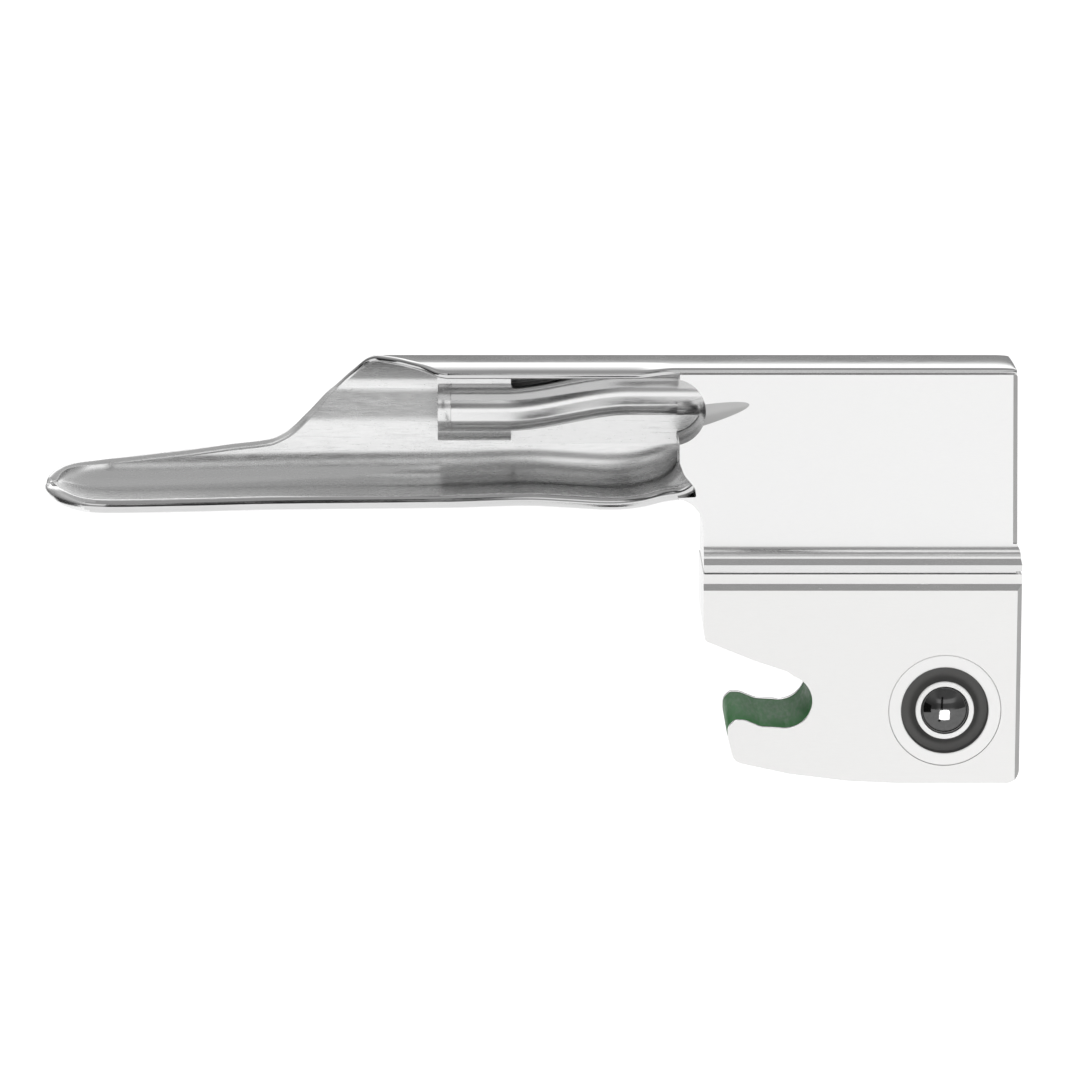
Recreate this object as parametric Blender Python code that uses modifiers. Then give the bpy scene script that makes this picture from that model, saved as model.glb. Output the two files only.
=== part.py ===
"""Straight fibre-optic laryngoscope blade, size 0, with a hook-on heel.

Row frame: metres, +Z up. The tip points to -X, the open side of the channel
faces -Y, and the origin is the axis of the handle's hinge pin, seated in the
hook notch, at mid thickness. All driving dimensions below are in millimetres.
"""
import math

import bmesh
import bpy
from mathutils import Matrix, Vector

MM = 0.001

# ---- driving dimensions (mm) ------------------------------------------------
TIP_X = -60.4            # end of the blade
SHELL_END_X = -8.72      # the web is brazed to the block here
STRIP_END_X = 18.45      # the flange runs on over the block to here
SHEET_T = 1.15           # sheet thickness of the spatula and web
FLANGE_T = 0.62          # sheet thickness of the flange
NEAR_Y = -4.9            # free edge of the spatula, open side
WEB_Y = 4.42             # mid plane of the web
R_LOW = 3.2              # bend between spatula and web, mid surface
R_TOP = 2.8              # bend between web and flange, mid surface
CROWN_Z = 27.22          # mid plane of the flange
FLANGE_EDGE_Y = -4.8     # free edge of the flange
FLANGE_DROOP = 0.40      # the flange edge turns down this much

BLOCK_HALF_Y = 5.25      # upper block, half thickness
BLOCK_TOP_Z = 26.84
BLOCK_RIGHT_X = 18.72
PLATE_HALF_Y = 5.95      # foot of the upper block
PLATE_BOTTOM_Z = 10.55
HEEL_HALF_Y = 6.25       # heel block, half thickness
HEEL_TOP_Z = 10.52
HEEL_BASE_Z = -6.78
HEEL_LEFT_X = -6.70
HEEL_RIGHT_X = 19.26

SEAT_R = 2.24            # hook notch seat, around the hinge pin
INSERT_T = 0.70          # green insert lining the seat
INSERT_HALF_Y = 5.70
CHEEK_GAP = 0.03

GUIDE_R = 2.0            # light guide tube, outer radius
GUIDE_BORE_R = 1.66
WINDOW_DISC_R = 1.58      # glass discs closing both ends of the guide
GUIDE_CLEAR = 0.03
GUIDE_X0 = -28.3         # front end of the tube
GUIDE_Z0 = 23.46
GUIDE_Z1 = 24.80         # height where it enters the block
GUIDE_BEND_R = 6.0
GUIDE_DOWN_X = 6.20      # the vertical leg, down to the inlet
INLET_Z = -6.50

DETENT_X = 13.08
DETENT_Z = -0.71
BUSH_R = 4.60            # detent bushing
BUSH_DEPTH = 2.0
RECESS_R = 3.58
COLLAR_R = 2.40
LIP_R = 1.95
BALL_R = 2.38
BALL_Y = 4.80            # ball centre at rest, from mid plane
BORE_R = 2.44
SLEEVE_R = 2.90


# ---- scene ------------------------------------------------------------------
for ob in list(bpy.data.objects):
    bpy.data.objects.remove(ob, do_unlink=True)
for block in (bpy.data.meshes, bpy.data.curves, bpy.data.materials):
    for item in list(block):
        block.remove(item)
for col in list(bpy.data.collections):
    bpy.data.collections.remove(col)

PARTS = bpy.data.collections.new("laryngoscope_blade")
CUTTERS = bpy.data.collections.new("cutters")
bpy.context.scene.collection.children.link(PARTS)
bpy.context.scene.collection.children.link(CUTTERS)


def material(name, rgb, metallic, roughness, transmission=0.0):
    mat = bpy.data.materials.new(name)
    mat.use_nodes = True
    bsdf = mat.node_tree.nodes["Principled BSDF"]
    bsdf.inputs["Base Color"].default_value = (*rgb, 1.0)
    bsdf.inputs["Metallic"].default_value = metallic
    bsdf.inputs["Roughness"].default_value = roughness
    bsdf.inputs["Transmission Weight"].default_value = transmission
    return mat


def finish(ob, mat, smooth=35.0):
    ob.data.materials.clear()
    ob.data.materials.append(mat)
    ob.data.shade_smooth()
    ob.data.set_sharp_from_angle(angle=math.radians(smooth))
    for c in list(ob.users_collection):
        c.objects.unlink(ob)
    PARTS.objects.link(ob)
    return ob


def add_mesh(name, bm, cutter=False):
    bmesh.ops.remove_doubles(bm, verts=bm.verts, dist=1e-7)
    bmesh.ops.recalc_face_normals(bm, faces=bm.faces)
    me = bpy.data.meshes.new(name)
    bm.to_mesh(me)
    bm.free()
    ob = bpy.data.objects.new(name, me)
    CUTTERS.objects.link(ob)
    if cutter:
        as_cutter(ob)
    return ob


def as_cutter(ob):
    ob.hide_render = True
    ob.display_type = "WIRE"
    return ob


def bake(ob):
    """The object's modifiers, applied."""
    deps = bpy.context.evaluated_depsgraph_get()
    deps.update()
    me = bpy.data.meshes.new_from_object(ob.evaluated_get(deps), depsgraph=deps)
    old = ob.data
    if ob.type == "MESH":
        ob.modifiers.clear()
        ob.data = me
        bpy.data.meshes.remove(old)
        return ob
    name = ob.name
    mat = ob.matrix_world.copy()
    bpy.data.objects.remove(ob, do_unlink=True)
    me.transform(mat)
    bm = bmesh.new()
    bm.from_mesh(me)
    bpy.data.meshes.remove(me)
    return add_mesh(name, bm)


def cut(ob, other, op="DIFFERENCE"):
    mod = ob.modifiers.new("cut", "BOOLEAN")
    mod.operation = op
    mod.solver = "EXACT"
    mod.object = other
    as_cutter(other)
    bake(ob)
    bm = bmesh.new()
    bm.from_mesh(ob.data)
    bmesh.ops.remove_doubles(bm, verts=bm.verts, dist=2e-7)
    bmesh.ops.dissolve_degenerate(bm, edges=bm.edges, dist=2e-7)
    bm.to_mesh(ob.data)
    bm.free()
    return ob


def bevel(ob, width, segments=2, angle=40.0):
    mod = ob.modifiers.new("edges", "BEVEL")
    mod.width = width * MM
    mod.segments = segments
    mod.limit_method = "ANGLE"
    mod.angle_limit = math.radians(angle)
    mod.harden_normals = False
    return bake(ob)


def cylinder(name, p0, p1, r, seg=32, r2=None):
    a, b = Vector(p0) * MM, Vector(p1) * MM
    axis = b - a
    bm = bmesh.new()
    bmesh.ops.create_cone(bm, cap_ends=True, segments=seg, radius1=r * MM,
                          radius2=(r if r2 is None else r2) * MM, depth=axis.length)
    rot = Vector((0, 0, 1)).rotation_difference(axis.normalized()).to_matrix().to_4x4()
    bmesh.ops.transform(bm, matrix=Matrix.Translation((a + b) / 2) @ rot, verts=bm.verts)
    return add_mesh(name, bm)


def box(name, lo, hi):
    bm = bmesh.new()
    bmesh.ops.create_cube(bm, size=1.0)
    lo, hi = Vector(lo) * MM, Vector(hi) * MM
    size = hi - lo
    bmesh.ops.scale(bm, vec=size, verts=bm.verts)
    bmesh.ops.translate(bm, vec=(lo + hi) / 2, verts=bm.verts)
    return add_mesh(name, bm)


def filleted(corners, step=12.0):
    """A closed outline with each corner (x, z, radius) rounded by an arc."""
    out = []
    n = len(corners)
    for i, (x, z, r) in enumerate(corners):
        p = Vector((x, z))
        if r <= 0:
            out.append(p)
            continue
        a = Vector(corners[i - 1][:2]) - p
        b = Vector(corners[(i + 1) % n][:2]) - p
        half = a.angle(b) / 2
        d = r / math.tan(half)
        d = min(d, 0.49 * a.length, 0.49 * b.length)
        rr = d * math.tan(half)
        bis = (a.normalized() + b.normalized()).normalized()
        c = p + bis * (rr / math.sin(half))
        s, e = p + a.normalized() * d - c, p + b.normalized() * d - c
        sweep = s.angle_signed(e)
        k = max(2, int(math.degrees(abs(sweep)) / step) + 1)
        for j in range(k + 1):
            t = -sweep * j / k
            out.append(c + Vector((s.x * math.cos(t) - s.y * math.sin(t),
                                   s.x * math.sin(t) + s.y * math.cos(t))))
    return out


def prism(name, outline, y0, y1):
    """A flat XZ outline, extruded from y0 to y1."""
    cu = bpy.data.curves.new(name, "CURVE")
    cu.dimensions = "2D"
    cu.fill_mode = "BOTH"
    cu.extrude = abs(y1 - y0) / 2 * MM
    sp = cu.splines.new("POLY")
    sp.points.add(len(outline) - 1)
    for pt, (x, z) in zip(sp.points, outline):
        pt.co = (x * MM, z * MM, 0, 1)
    sp.use_cyclic_u = True
    ob = bpy.data.objects.new(name, cu)
    CUTTERS.objects.link(ob)
    ob.matrix_world = Matrix.Translation((0, (y0 + y1) / 2 * MM, 0)) @ Matrix.Rotation(math.pi / 2, 4, "X")
    return bake(ob)


def turned(name, profile, centre, outward, steps=40):
    """A closed (radius, height) profile turned about Y; height points along outward."""
    bm = bmesh.new()
    vs = [bm.verts.new((r * MM, 0, h * MM)) for r, h in profile]
    for i in range(len(vs)):
        bm.edges.new((vs[i], vs[(i + 1) % len(vs)]))
    me = bpy.data.meshes.new(name)
    bm.to_mesh(me)
    bm.free()
    ob = bpy.data.objects.new(name, me)
    CUTTERS.objects.link(ob)
    mod = ob.modifiers.new("turn", "SCREW")
    mod.axis = "Z"
    mod.steps = steps
    mod.render_steps = steps
    mod.use_merge_vertices = True
    mod.merge_threshold = 1e-6
    mod.use_smooth_shade = True
    bake(ob)
    rot = Vector((0, 0, 1)).rotation_difference(Vector((0, outward, 0))).to_matrix().to_4x4()
    ob.data.transform(Matrix.Translation(Vector(centre) * MM) @ rot)
    bm = bmesh.new()
    bm.from_mesh(ob.data)
    bmesh.ops.remove_doubles(bm, verts=bm.verts, dist=1e-7)
    bmesh.ops.recalc_face_normals(bm, faces=bm.faces)
    bm.to_mesh(ob.data)
    bm.free()
    return ob


def sweep(name, path, r, resolution=5):
    """A round rod along a path of points."""
    cu = bpy.data.curves.new(name, "CURVE")
    cu.dimensions = "3D"
    cu.bevel_depth = r * MM
    cu.bevel_resolution = resolution
    cu.use_fill_caps = True
    sp = cu.splines.new("POLY")
    sp.points.add(len(path) - 1)
    for pt, p in zip(sp.points, path):
        pt.co = (p[0] * MM, p[1] * MM, p[2] * MM, 1)
    ob = bpy.data.objects.new(name, cu)
    CUTTERS.objects.link(ob)
    return bake(ob)


# ---- the channel section ----------------------------------------------------
def blend(x, knots):
    """Smooth steps between (x, value) pairs."""
    if x <= knots[0][0]:
        return knots[0][1]
    for (x0, v0), (x1, v1) in zip(knots, knots[1:]):
        if x <= x1:
            t = (x - x0) / (x1 - x0)
            return v0 + (v1 - v0) * t * t * (3 - 2 * t)
    return knots[-1][1]


def curve(x, knots):
    """A smooth curve through (x, value) pairs, without overshoot."""
    n = len(knots)
    if x <= knots[0][0]:
        return knots[0][1]
    if x >= knots[-1][0]:
        return knots[-1][1]
    rise = [(b[1] - a[1]) / (b[0] - a[0]) for a, b in zip(knots, knots[1:])]
    tan = [rise[0]] + [0.0 if a * b <= 0 else 2 * a * b / (a + b) for a, b in zip(rise, rise[1:])] + [rise[-1]]
    for i in range(n - 1):
        (x0, v0), (x1, v1) = knots[i], knots[i + 1]
        if x <= x1:
            h = x1 - x0
            t = (x - x0) / h
            return ((2 * t ** 3 - 3 * t ** 2 + 1) * v0 + (t ** 3 - 2 * t ** 2 + t) * h * tan[i]
                    + (3 * t ** 2 - 2 * t ** 3) * v1 + (t ** 3 - t ** 2) * h * tan[i + 1])


def linear(x, knots):
    if x <= knots[0][0]:
        return knots[0][1]
    for (x0, v0), (x1, v1) in zip(knots, knots[1:]):
        if x <= x1:
            return v0 + (v1 - v0) * (x - x0) / (x1 - x0)
    return knots[-1][1]


# Height of the spatula's floor, mid surface, along the blade.
FLOOR_Z = [(TIP_X, 16.98), (-59.6, 16.50), (-58.5, 16.12), (-57.3, 15.86), (-55.5, 15.76), (-48.5, 15.87),
           (-42.0, 16.03), (-27.4, 16.19), (-21.0, 16.36), (-17.6, 16.20), (-14.3, 16.03),
           (-12.7, 16.11), (-11.1, 16.40), (-9.6, 16.84), (-8.6, 16.97), (-7.4, 17.00)]
# Height of the free far edge over the floor, while it is still a rim or the web's ramp.
RIM_H = [(TIP_X, 2.55), (-57.2, 2.64), (-55.9, 2.76), (-52.5, 3.10), (-49.2, 3.41), (-45.9, 3.80), (-42.5, 4.14),
         (-40.9, 4.80), (-39.2, 6.22), (-37.5, 8.06), (-37.1, 8.46)]
RAMP_END_X = -37.2
# Past the ramp the free edge climbs round the top bend, then runs out over the channel.
BEND_RISE = [(RAMP_END_X, 0.0), (-36.5, 0.62), (-35.8, 1.29), (-35.0, 2.10), (-34.1, 3.30), (-33.3, 4.40)]
FLAT_LEN = WEB_Y - R_LOW - NEAR_Y
ARC_LOW = R_LOW * math.pi / 2
ARC_TOP = R_TOP * math.pi / 2
FLANGE_LEN = WEB_Y - R_TOP - FLANGE_EDGE_Y
FLANGE_RUN = [(-33.3, 0.0), (-32.4, 0.95), (-31.4, 2.1), (-30.2, 3.9), (-29.0, FLANGE_LEN - 0.95),
              (-28.3, FLANGE_LEN - 0.25), (-27.6, FLANGE_LEN)]


def web_len(x):
    return CROWN_Z - R_TOP - (curve(x, FLOOR_Z) + R_LOW)


def end_length(x):
    """Path length from the near edge of the spatula to the free far edge."""
    web_end = FLAT_LEN + ARC_LOW + web_len(x)
    if x < RAMP_END_X:
        h = curve(x, RIM_H)
        if h < R_LOW:
            return FLAT_LEN + R_LOW * math.acos(1 - h / R_LOW)
        return min(FLAT_LEN + ARC_LOW + (h - R_LOW), web_end)
    if x < FLANGE_RUN[0][0]:
        return web_end + min(ARC_TOP, curve(x, BEND_RISE))
    return web_end + ARC_TOP + curve(x, FLANGE_RUN)


def point(x, s):
    """Mid surface point at path length s, and how thick the sheet is there."""
    z0 = curve(x, FLOOR_Z)
    w = web_len(x)
    if s <= FLAT_LEN:
        y = NEAR_Y + s
        lip = 0.30 * max(0.0, 1 - s / 1.6) ** 2
        return y, z0 + lip, SHEET_T
    s -= FLAT_LEN
    if s <= ARC_LOW:
        a = s / R_LOW
        return WEB_Y - R_LOW + R_LOW * math.sin(a), z0 + R_LOW * (1 - math.cos(a)), SHEET_T
    s -= ARC_LOW
    if s <= w:
        t = linear(s, [(w - 2.6, SHEET_T), (w, FLANGE_T)])
        return WEB_Y, z0 + R_LOW + s, t
    s -= w
    if s <= ARC_TOP:
        a = s / R_TOP
        return WEB_Y - R_TOP + R_TOP * math.cos(a), CROWN_Z - R_TOP + R_TOP * math.sin(a), FLANGE_T
    s -= ARC_TOP
    y = WEB_Y - R_TOP - s
    droop = FLANGE_DROOP * blend(x, [(-12.5, 1.0), (-9.0, 0.0)])
    droop *= max(0.0, (-2.4 - y) / (-2.4 - FLANGE_EDGE_Y)) ** 2
    return y, CROWN_Z - droop, FLANGE_T


def shell_stations():
    a = 5.2
    xs = [TIP_X + a * (1 - math.cos(math.radians(18 + 72 * i / 9))) - a * (1 - math.cos(math.radians(18))) * (1 - i / 9)
          for i in range(10)]
    xs += [-53.0, -50.0, -47.0, -44.4, -43.0]
    xs += [-42.0, -41.2, -40.4, -39.6, -38.8, -38.0, RAMP_END_X, -36.5, -35.8, -35.2, -34.6, -34.0,
           -33.3, -32.4, -31.4, -30.2, -29.0, -28.3, -27.6]
    xs += [-24.0, -21.0, -18.0, -16.0, -14.3, -12.7, -11.3, -10.0, SHELL_END_X]
    return xs


def tip_scale(x):
    """Half width of the plan outline, as a share of the full width."""
    a = 5.2
    u = min(1.0, (x - TIP_X) / a + 0.049)
    return math.sqrt(max(0.0, 1 - (1 - u) ** 2.3))


def rows_for(x, n_low, n_web, n_top, n_flange):
    """Path lengths of the rows; every bend keeps its own rows wherever the section has that bend."""
    s_end = end_length(x)
    crown = FLAT_LEN + ARC_LOW + web_len(x) + ARC_TOP
    s_low = min(FLAT_LEN + ARC_LOW, FLAT_LEN + 0.62 * (s_end - FLAT_LEN))
    s_web = max(s_low + 0.05, min(crown - ARC_TOP, s_end - 1.2))
    s_top = max(s_web + 0.05, min(crown, s_end - 0.6))
    if s_end - FLAT_LEN < 6.0:
        s_web = s_low + 0.40 * (s_end - s_low)
        s_top = s_low + 0.70 * (s_end - s_low)
    marks = []
    for n, lo, hi in ((n_low, FLAT_LEN, s_low), (n_web, s_low, s_web), (n_top, s_web, s_top),
                      (n_flange, s_top, s_end)):
        marks += [lo + (hi - lo) * i / n for i in range(1, n + 1)]
    return marks


# How far the sheet runs past SHELL_END_X, by the height of its upper face.
SPATULA_END = [(17.60, 1.10), (18.50, 0.26), (19.00, -0.08)]


def build_shell(name):
    n_flat, n_low, n_web, n_top, n_flange = 6, 6, 3, 6, 5
    stations = shell_stations()
    bm = bmesh.new()
    layer = bm.verts.layers.deform.verify()
    grid = []

    def vert(x, s):
        y, z, t = point(x, s)
        share = tip_scale(x)
        bx = 0.0
        if share < 1.0:
            z0 = curve(x, FLOOR_Z)
            bx = 0.20 * (1 - share) * min(1.0, abs(y) / 4.9) ** 2
            y *= share
            z = z0 + (z - z0) * share
        if x == SHELL_END_X:
            # The spatula is let into the block's front face.
            slope = 1.0 if s < FLAT_LEN else max(0.0, math.cos((s - FLAT_LEN) / R_LOW))
            bx = linear(z + slope * SHEET_T / 2, SPATULA_END)
        v = bm.verts.new(((x + bx) * MM, y * MM, z * MM))
        v[layer][0] = t / SHEET_T
        return v

    for x in stations:
        col = [vert(x, FLAT_LEN * k / n_flat) for k in range(n_flat + 1)]
        col += [vert(x, m) for m in rows_for(x, n_low, n_web, n_top, n_flange)]
        grid.append(col)
    for a, b in zip(grid, grid[1:]):
        for k in range(len(a) - 1):
            bm.faces.new((a[k], b[k], b[k + 1], a[k + 1]))
    # The flange and its bend run on over the block as a strip.
    first = n_flat + n_low + n_web
    last = grid[-1][first:]
    for x in (-7.0, 0.0, 6.0, 12.0, STRIP_END_X):
        nxt = []
        for v in last:
            w = bm.verts.new((x * MM, v.co.y, v.co.z))
            w[layer][0] = FLANGE_T / SHEET_T
            nxt.append(w)
        for k in range(len(nxt) - 1):
            bm.faces.new((last[k], nxt[k], nxt[k + 1], last[k + 1]))
        last = nxt
    me = bpy.data.meshes.new(name)
    bm.to_mesh(me)
    bm.free()
    ob = bpy.data.objects.new(name, me)
    ob.vertex_groups.new(name="sheet")
    CUTTERS.objects.link(ob)
    mod = ob.modifiers.new("sheet", "SOLIDIFY")
    mod.thickness = SHEET_T * MM
    mod.offset = 0.0
    mod.use_even_offset = True
    mod.use_quality_normals = True
    mod.vertex_group = "sheet"
    mod.thickness_vertex_group = 0.0
    bake(ob)
    ob.vertex_groups.clear()
    bm = bmesh.new()
    bm.from_mesh(ob.data)
    bmesh.ops.recalc_face_normals(bm, faces=bm.faces)
    bm.to_mesh(ob.data)
    bm.free()
    return bevel(ob, 0.26, segments=2, angle=50.0)


# ---- the light guide's path -------------------------------------------------
def guide_path(start_x, end_z, step=9):
    pts = [(start_x, 0.0, GUIDE_Z0)]
    pts.append((-23.0, 0.0, GUIDE_Z0))
    for i in range(1, 9):
        x = -23.0 + 10.4 * i / 8
        pts.append((x, 0.0, blend(x, [(-23.0, GUIDE_Z0), (-12.6, GUIDE_Z1)])))
    x_arc = GUIDE_DOWN_X - GUIDE_BEND_R
    zc = GUIDE_Z1 - GUIDE_BEND_R
    for i in range(step + 1):
        a = math.pi / 2 * (1 - i / step)
        pts.append((x_arc + GUIDE_BEND_R * math.cos(a), 0.0, zc + GUIDE_BEND_R * math.sin(a)))
    pts.append((GUIDE_DOWN_X, 0.0, end_z))
    return pts


STEEL = material("polished stainless steel", (0.78, 0.78, 0.77), 1.0, 0.14)
SATIN = material("satin stainless steel", (0.86, 0.86, 0.85), 1.0, 0.34)
GREEN = material("green moulded plastic", (0.10, 0.26, 0.12), 0.0, 0.40)
FIBRE = material("glass fibre bundle", (0.80, 0.84, 0.80), 0.0, 0.25)
GLASS = material("light guide window", (0.92, 0.95, 0.95), 0.0, 0.05, 0.6)
SPRING = material("spring steel", (0.60, 0.60, 0.60), 1.0, 0.28)
BALL = material("hardened steel ball", (0.66, 0.66, 0.67), 1.0, 0.08)
PIN = material("ground steel pin", (0.70, 0.70, 0.70), 1.0, 0.22)


def copy_mat(mat, suffix):
    new = mat.copy()
    new.name = f"{mat.name} {suffix}"
    return new


# ---- channel ----------------------------------------------------------------
finish(build_shell("blade_channel"), copy_mat(STEEL, "channel"))

# ---- upper block ------------------------------------------------------------
upper_outline = filleted([
    (-6.68, 11.00, 0),
    (-6.68, 14.10, 2.8),
    (-7.98, 16.33, 0),
    (-7.45, 16.36, 0),
    (-7.45, 17.70, 0),
    (-8.29, 18.60, 0),
    (-8.68, 19.20, 0),
    (-8.68, BLOCK_TOP_Z, 0),
    (BLOCK_RIGHT_X, BLOCK_TOP_Z, 0.25),
    (BLOCK_RIGHT_X + 0.22, 11.00, 0),
])
upper = prism("upper_block", upper_outline, -BLOCK_HALF_Y, BLOCK_HALF_Y)
bevel(upper, 0.18, 1, 60.0)
bm = bmesh.new()
rings = []
# A shallow relief at the joint, a square land, then a chamfer up to the block.
for z, lx, hx, hy in ((PLATE_BOTTOM_Z, -6.60, 18.80, 5.45), (10.80, -6.60, 18.80, 5.45),
                      (10.80, -6.68, HEEL_RIGHT_X, PLATE_HALF_Y), (11.30, -6.68, HEEL_RIGHT_X, PLATE_HALF_Y),
                      (11.78, -6.68, 19.16, 5.62), (12.05, -6.68, 19.06, 5.42), (12.60, -6.68, 18.92, 5.22)):
    rings.append([bm.verts.new((x * MM, y * MM, z * MM))
                  for x, y in ((lx, -hy), (hx, -hy), (hx, hy), (lx, hy))])
for a, b in zip(rings, rings[1:]):
    for k in range(4):
        bm.faces.new((a[k], a[(k + 1) % 4], b[(k + 1) % 4], b[k]))
bm.faces.new(rings[0][::-1])
bm.faces.new(rings[-1])
foot = add_mesh("foot", bm)
cut(upper, foot, "UNION")

# The rounded inner end of the channel, milled into the block's front face.
WINDOW_R = 2.73
mill = cylinder("mill", (-9.29, -7.0, 23.77), (-9.29, 2.9, 23.77), WINDOW_R, 48)
cut(upper, mill)
# Rounded and rebated far top edge, under the strip's bend.
EDGE_Y, EDGE_Z = WEB_Y - R_TOP, CROWN_Z - R_TOP
EDGE_R = BLOCK_TOP_Z - EDGE_Z
bm = bmesh.new()
loop = [(EDGE_Y + EDGE_R * math.sin(math.radians(a)), EDGE_Z + EDGE_R * math.cos(math.radians(a)))
        for a in range(0, 91, 15)]
loop += [(EDGE_Y + EDGE_R, EDGE_Z - 0.06), (7.0, EDGE_Z - 0.06), (7.0, 29.0), (EDGE_Y, 29.0)]
ends = []
for x in (-20.0, 30.0):
    ends.append([bm.verts.new((x * MM, y * MM, z * MM)) for y, z in loop])
n = len(loop)
for k in range(n):
    bm.faces.new((ends[0][k], ends[0][(k + 1) % n], ends[1][(k + 1) % n], ends[1][k]))
bm.faces.new(ends[0][::-1])
bm.faces.new(ends[1])
far_edge = add_mesh("far_edge", bm)
cut(upper, far_edge)
# Run-out of the light guide's groove on the near face.
runout = cylinder("runout", (-9.4, -6.02, 22.95), (-1.2, -6.71, 24.85), 1.30, 32)
cut(upper, runout)
# Bore for the light guide.
bore = sweep("guide_bore", guide_path(-24.0, 5.0), GUIDE_R + GUIDE_CLEAR, 6)
cut(upper, bore)

# ---- heel block -------------------------------------------------------------
# Walk: right side and bottom, up over the hooked lip, round the seat, out along the upper lip.
seat = [(SEAT_R * math.cos(math.radians(a)), SEAT_R * math.sin(math.radians(a)))
        for a in range(-100, 71, 10)]
LIP = [(-4.66, -3.00, 0.6), (-4.66, -2.10, 0.8), (-4.05, -1.56, 0.45), (-3.25, -1.58, 1.2), (-1.95, -2.12, 1.4)]
lip_path = filleted([
    (HEEL_RIGHT_X, HEEL_TOP_Z, 0),
    (HEEL_RIGHT_X, HEEL_BASE_Z, 1.1),
    (9.2, HEEL_BASE_Z, 0),
    (5.2, -6.60, 8.0),
    (0.4, -6.02, 3.0),
    (-4.15, -5.02, 1.0)] + LIP + [
    (seat[0][0], seat[0][1], 0),
], 15.0)
outline = [tuple(p) for p in lip_path[:-1]] + seat
tail = filleted([(seat[-1][0], seat[-1][1], 0), (0.15, 2.53, 0.35), (-2.70, 3.49, 1.0),
                 (-6.55, 5.06, 0.4), (HEEL_LEFT_X, 6.2, 0.0), (HEEL_LEFT_X, HEEL_TOP_Z, 0)], 15.0)
outline += [tuple(p) for p in tail[1:]]
heel = prism("heel_block", outline, -HEEL_HALF_Y, HEEL_HALF_Y)
# Sloped shoulders along the top of both side faces.
for side in (-1, 1):
    bm = bmesh.new()
    loop = [(side * 5.86, HEEL_TOP_Z + 0.4), (side * 5.86, 9.74), (side * (HEEL_HALF_Y + 0.02), 9.22),
            (side * (HEEL_HALF_Y + 1.5), 9.22), (side * (HEEL_HALF_Y + 1.5), HEEL_TOP_Z + 0.4)]
    ends = [[bm.verts.new((x * MM, y * MM, z * MM)) for y, z in loop] for x in (-30.0, 40.0)]
    n = len(loop)
    for k in range(n):
        bm.faces.new((ends[0][k], ends[0][(k + 1) % n], ends[1][(k + 1) % n], ends[1][k]))
    bm.faces.new(ends[0][::-1])
    bm.faces.new(ends[1])
    cut(heel, add_mesh("shoulder", bm))

# Groove for the insert: the lower seat and the round end, between two steel cheeks.
def seat_band(slack, lead):
    """Insert outline: the seat contour, set back or proud by lead, and its back in the steel."""
    run = [Vector(p) for p in filleted([(LIP[0][0], LIP[0][1], 0)] + LIP[1:] + [(seat[0][0], seat[0][1], 0)],
                                       15.0)]
    run += [Vector((SEAT_R * math.cos(math.radians(a)), SEAT_R * math.sin(math.radians(a))))
            for a in range(-90, 31, 10)]
    front = []
    for i, p in enumerate(run):
        d = (run[min(len(run) - 1, i + 1)] - run[max(0, i - 1)]).normalized()
        front.append(p - Vector((d.y, -d.x)) * lead)
    r = SEAT_R + INSERT_T + slack
    back = [Vector(p) for p in filleted([
        (-3.92 + slack, -3.0 - slack, 0), (-3.90 + slack, -2.36 - slack, 0.3), (-3.20, -2.32 - slack, 0.8),
        (-2.00, -2.84 - slack, 1.2), (r * math.cos(math.radians(-100)), r * math.sin(math.radians(-100)), 0)],
        20.0)]
    back += [Vector((r * math.cos(math.radians(a)), r * math.sin(math.radians(a)))) for a in range(-90, 31, 10)]
    if slack:
        front[0].y -= slack
        tip = Vector((math.cos(math.radians(30)), math.sin(math.radians(30))))
        side = Vector((-tip.y, tip.x)) * slack
        front[-1] += side
        back[-1] += side
    return front + back[::-1]


groove = prism("insert_groove", seat_band(CHEEK_GAP, 0.6), -(INSERT_HALF_Y + CHEEK_GAP),
               INSERT_HALF_Y + CHEEK_GAP)
cut(heel, groove)
insert = prism("green_insert", seat_band(0.0, -0.04), -INSERT_HALF_Y, INSERT_HALF_Y)
finish(insert, GREEN)

# Cross pin that holds the insert in the lip.
PIN_AT = (-2.65, -3.35)
cut(heel, cylinder("pin_hole", (PIN_AT[0], -4.6, PIN_AT[1]), (PIN_AT[0], 9.0, PIN_AT[1]), 0.62, 20))
finish(cylinder("insert_pin", (PIN_AT[0], -4.5, PIN_AT[1]), (PIN_AT[0], 6.2, PIN_AT[1]), 0.60, 20),
       copy_mat(PIN, "lip"))

# Light guide bore and inlet ferrule pocket.
cut(heel, cylinder("guide_leg", (GUIDE_DOWN_X, 0, -9.0), (GUIDE_DOWN_X, 0, 12.0), GUIDE_R + GUIDE_CLEAR, 32))
cut(heel, cylinder("ferrule_pocket", (GUIDE_DOWN_X, 0, -9.0), (GUIDE_DOWN_X, 0, -3.38), 2.78, 32))

# Detent cross bore, sleeve bore and bushing pockets.
D = (DETENT_X, 0, DETENT_Z)
cut(heel, cylinder("sleeve_bore", (DETENT_X, -8, DETENT_Z), (DETENT_X, 8, DETENT_Z), SLEEVE_R + 0.02, 40))
for side in (-1, 1):
    cut(heel, cylinder("bush_pocket", (DETENT_X, side * (HEEL_HALF_Y - BUSH_DEPTH - 0.03), DETENT_Z),
                       (DETENT_X, side * 9.0, DETENT_Z), BUSH_R + 0.03, 48))

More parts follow.
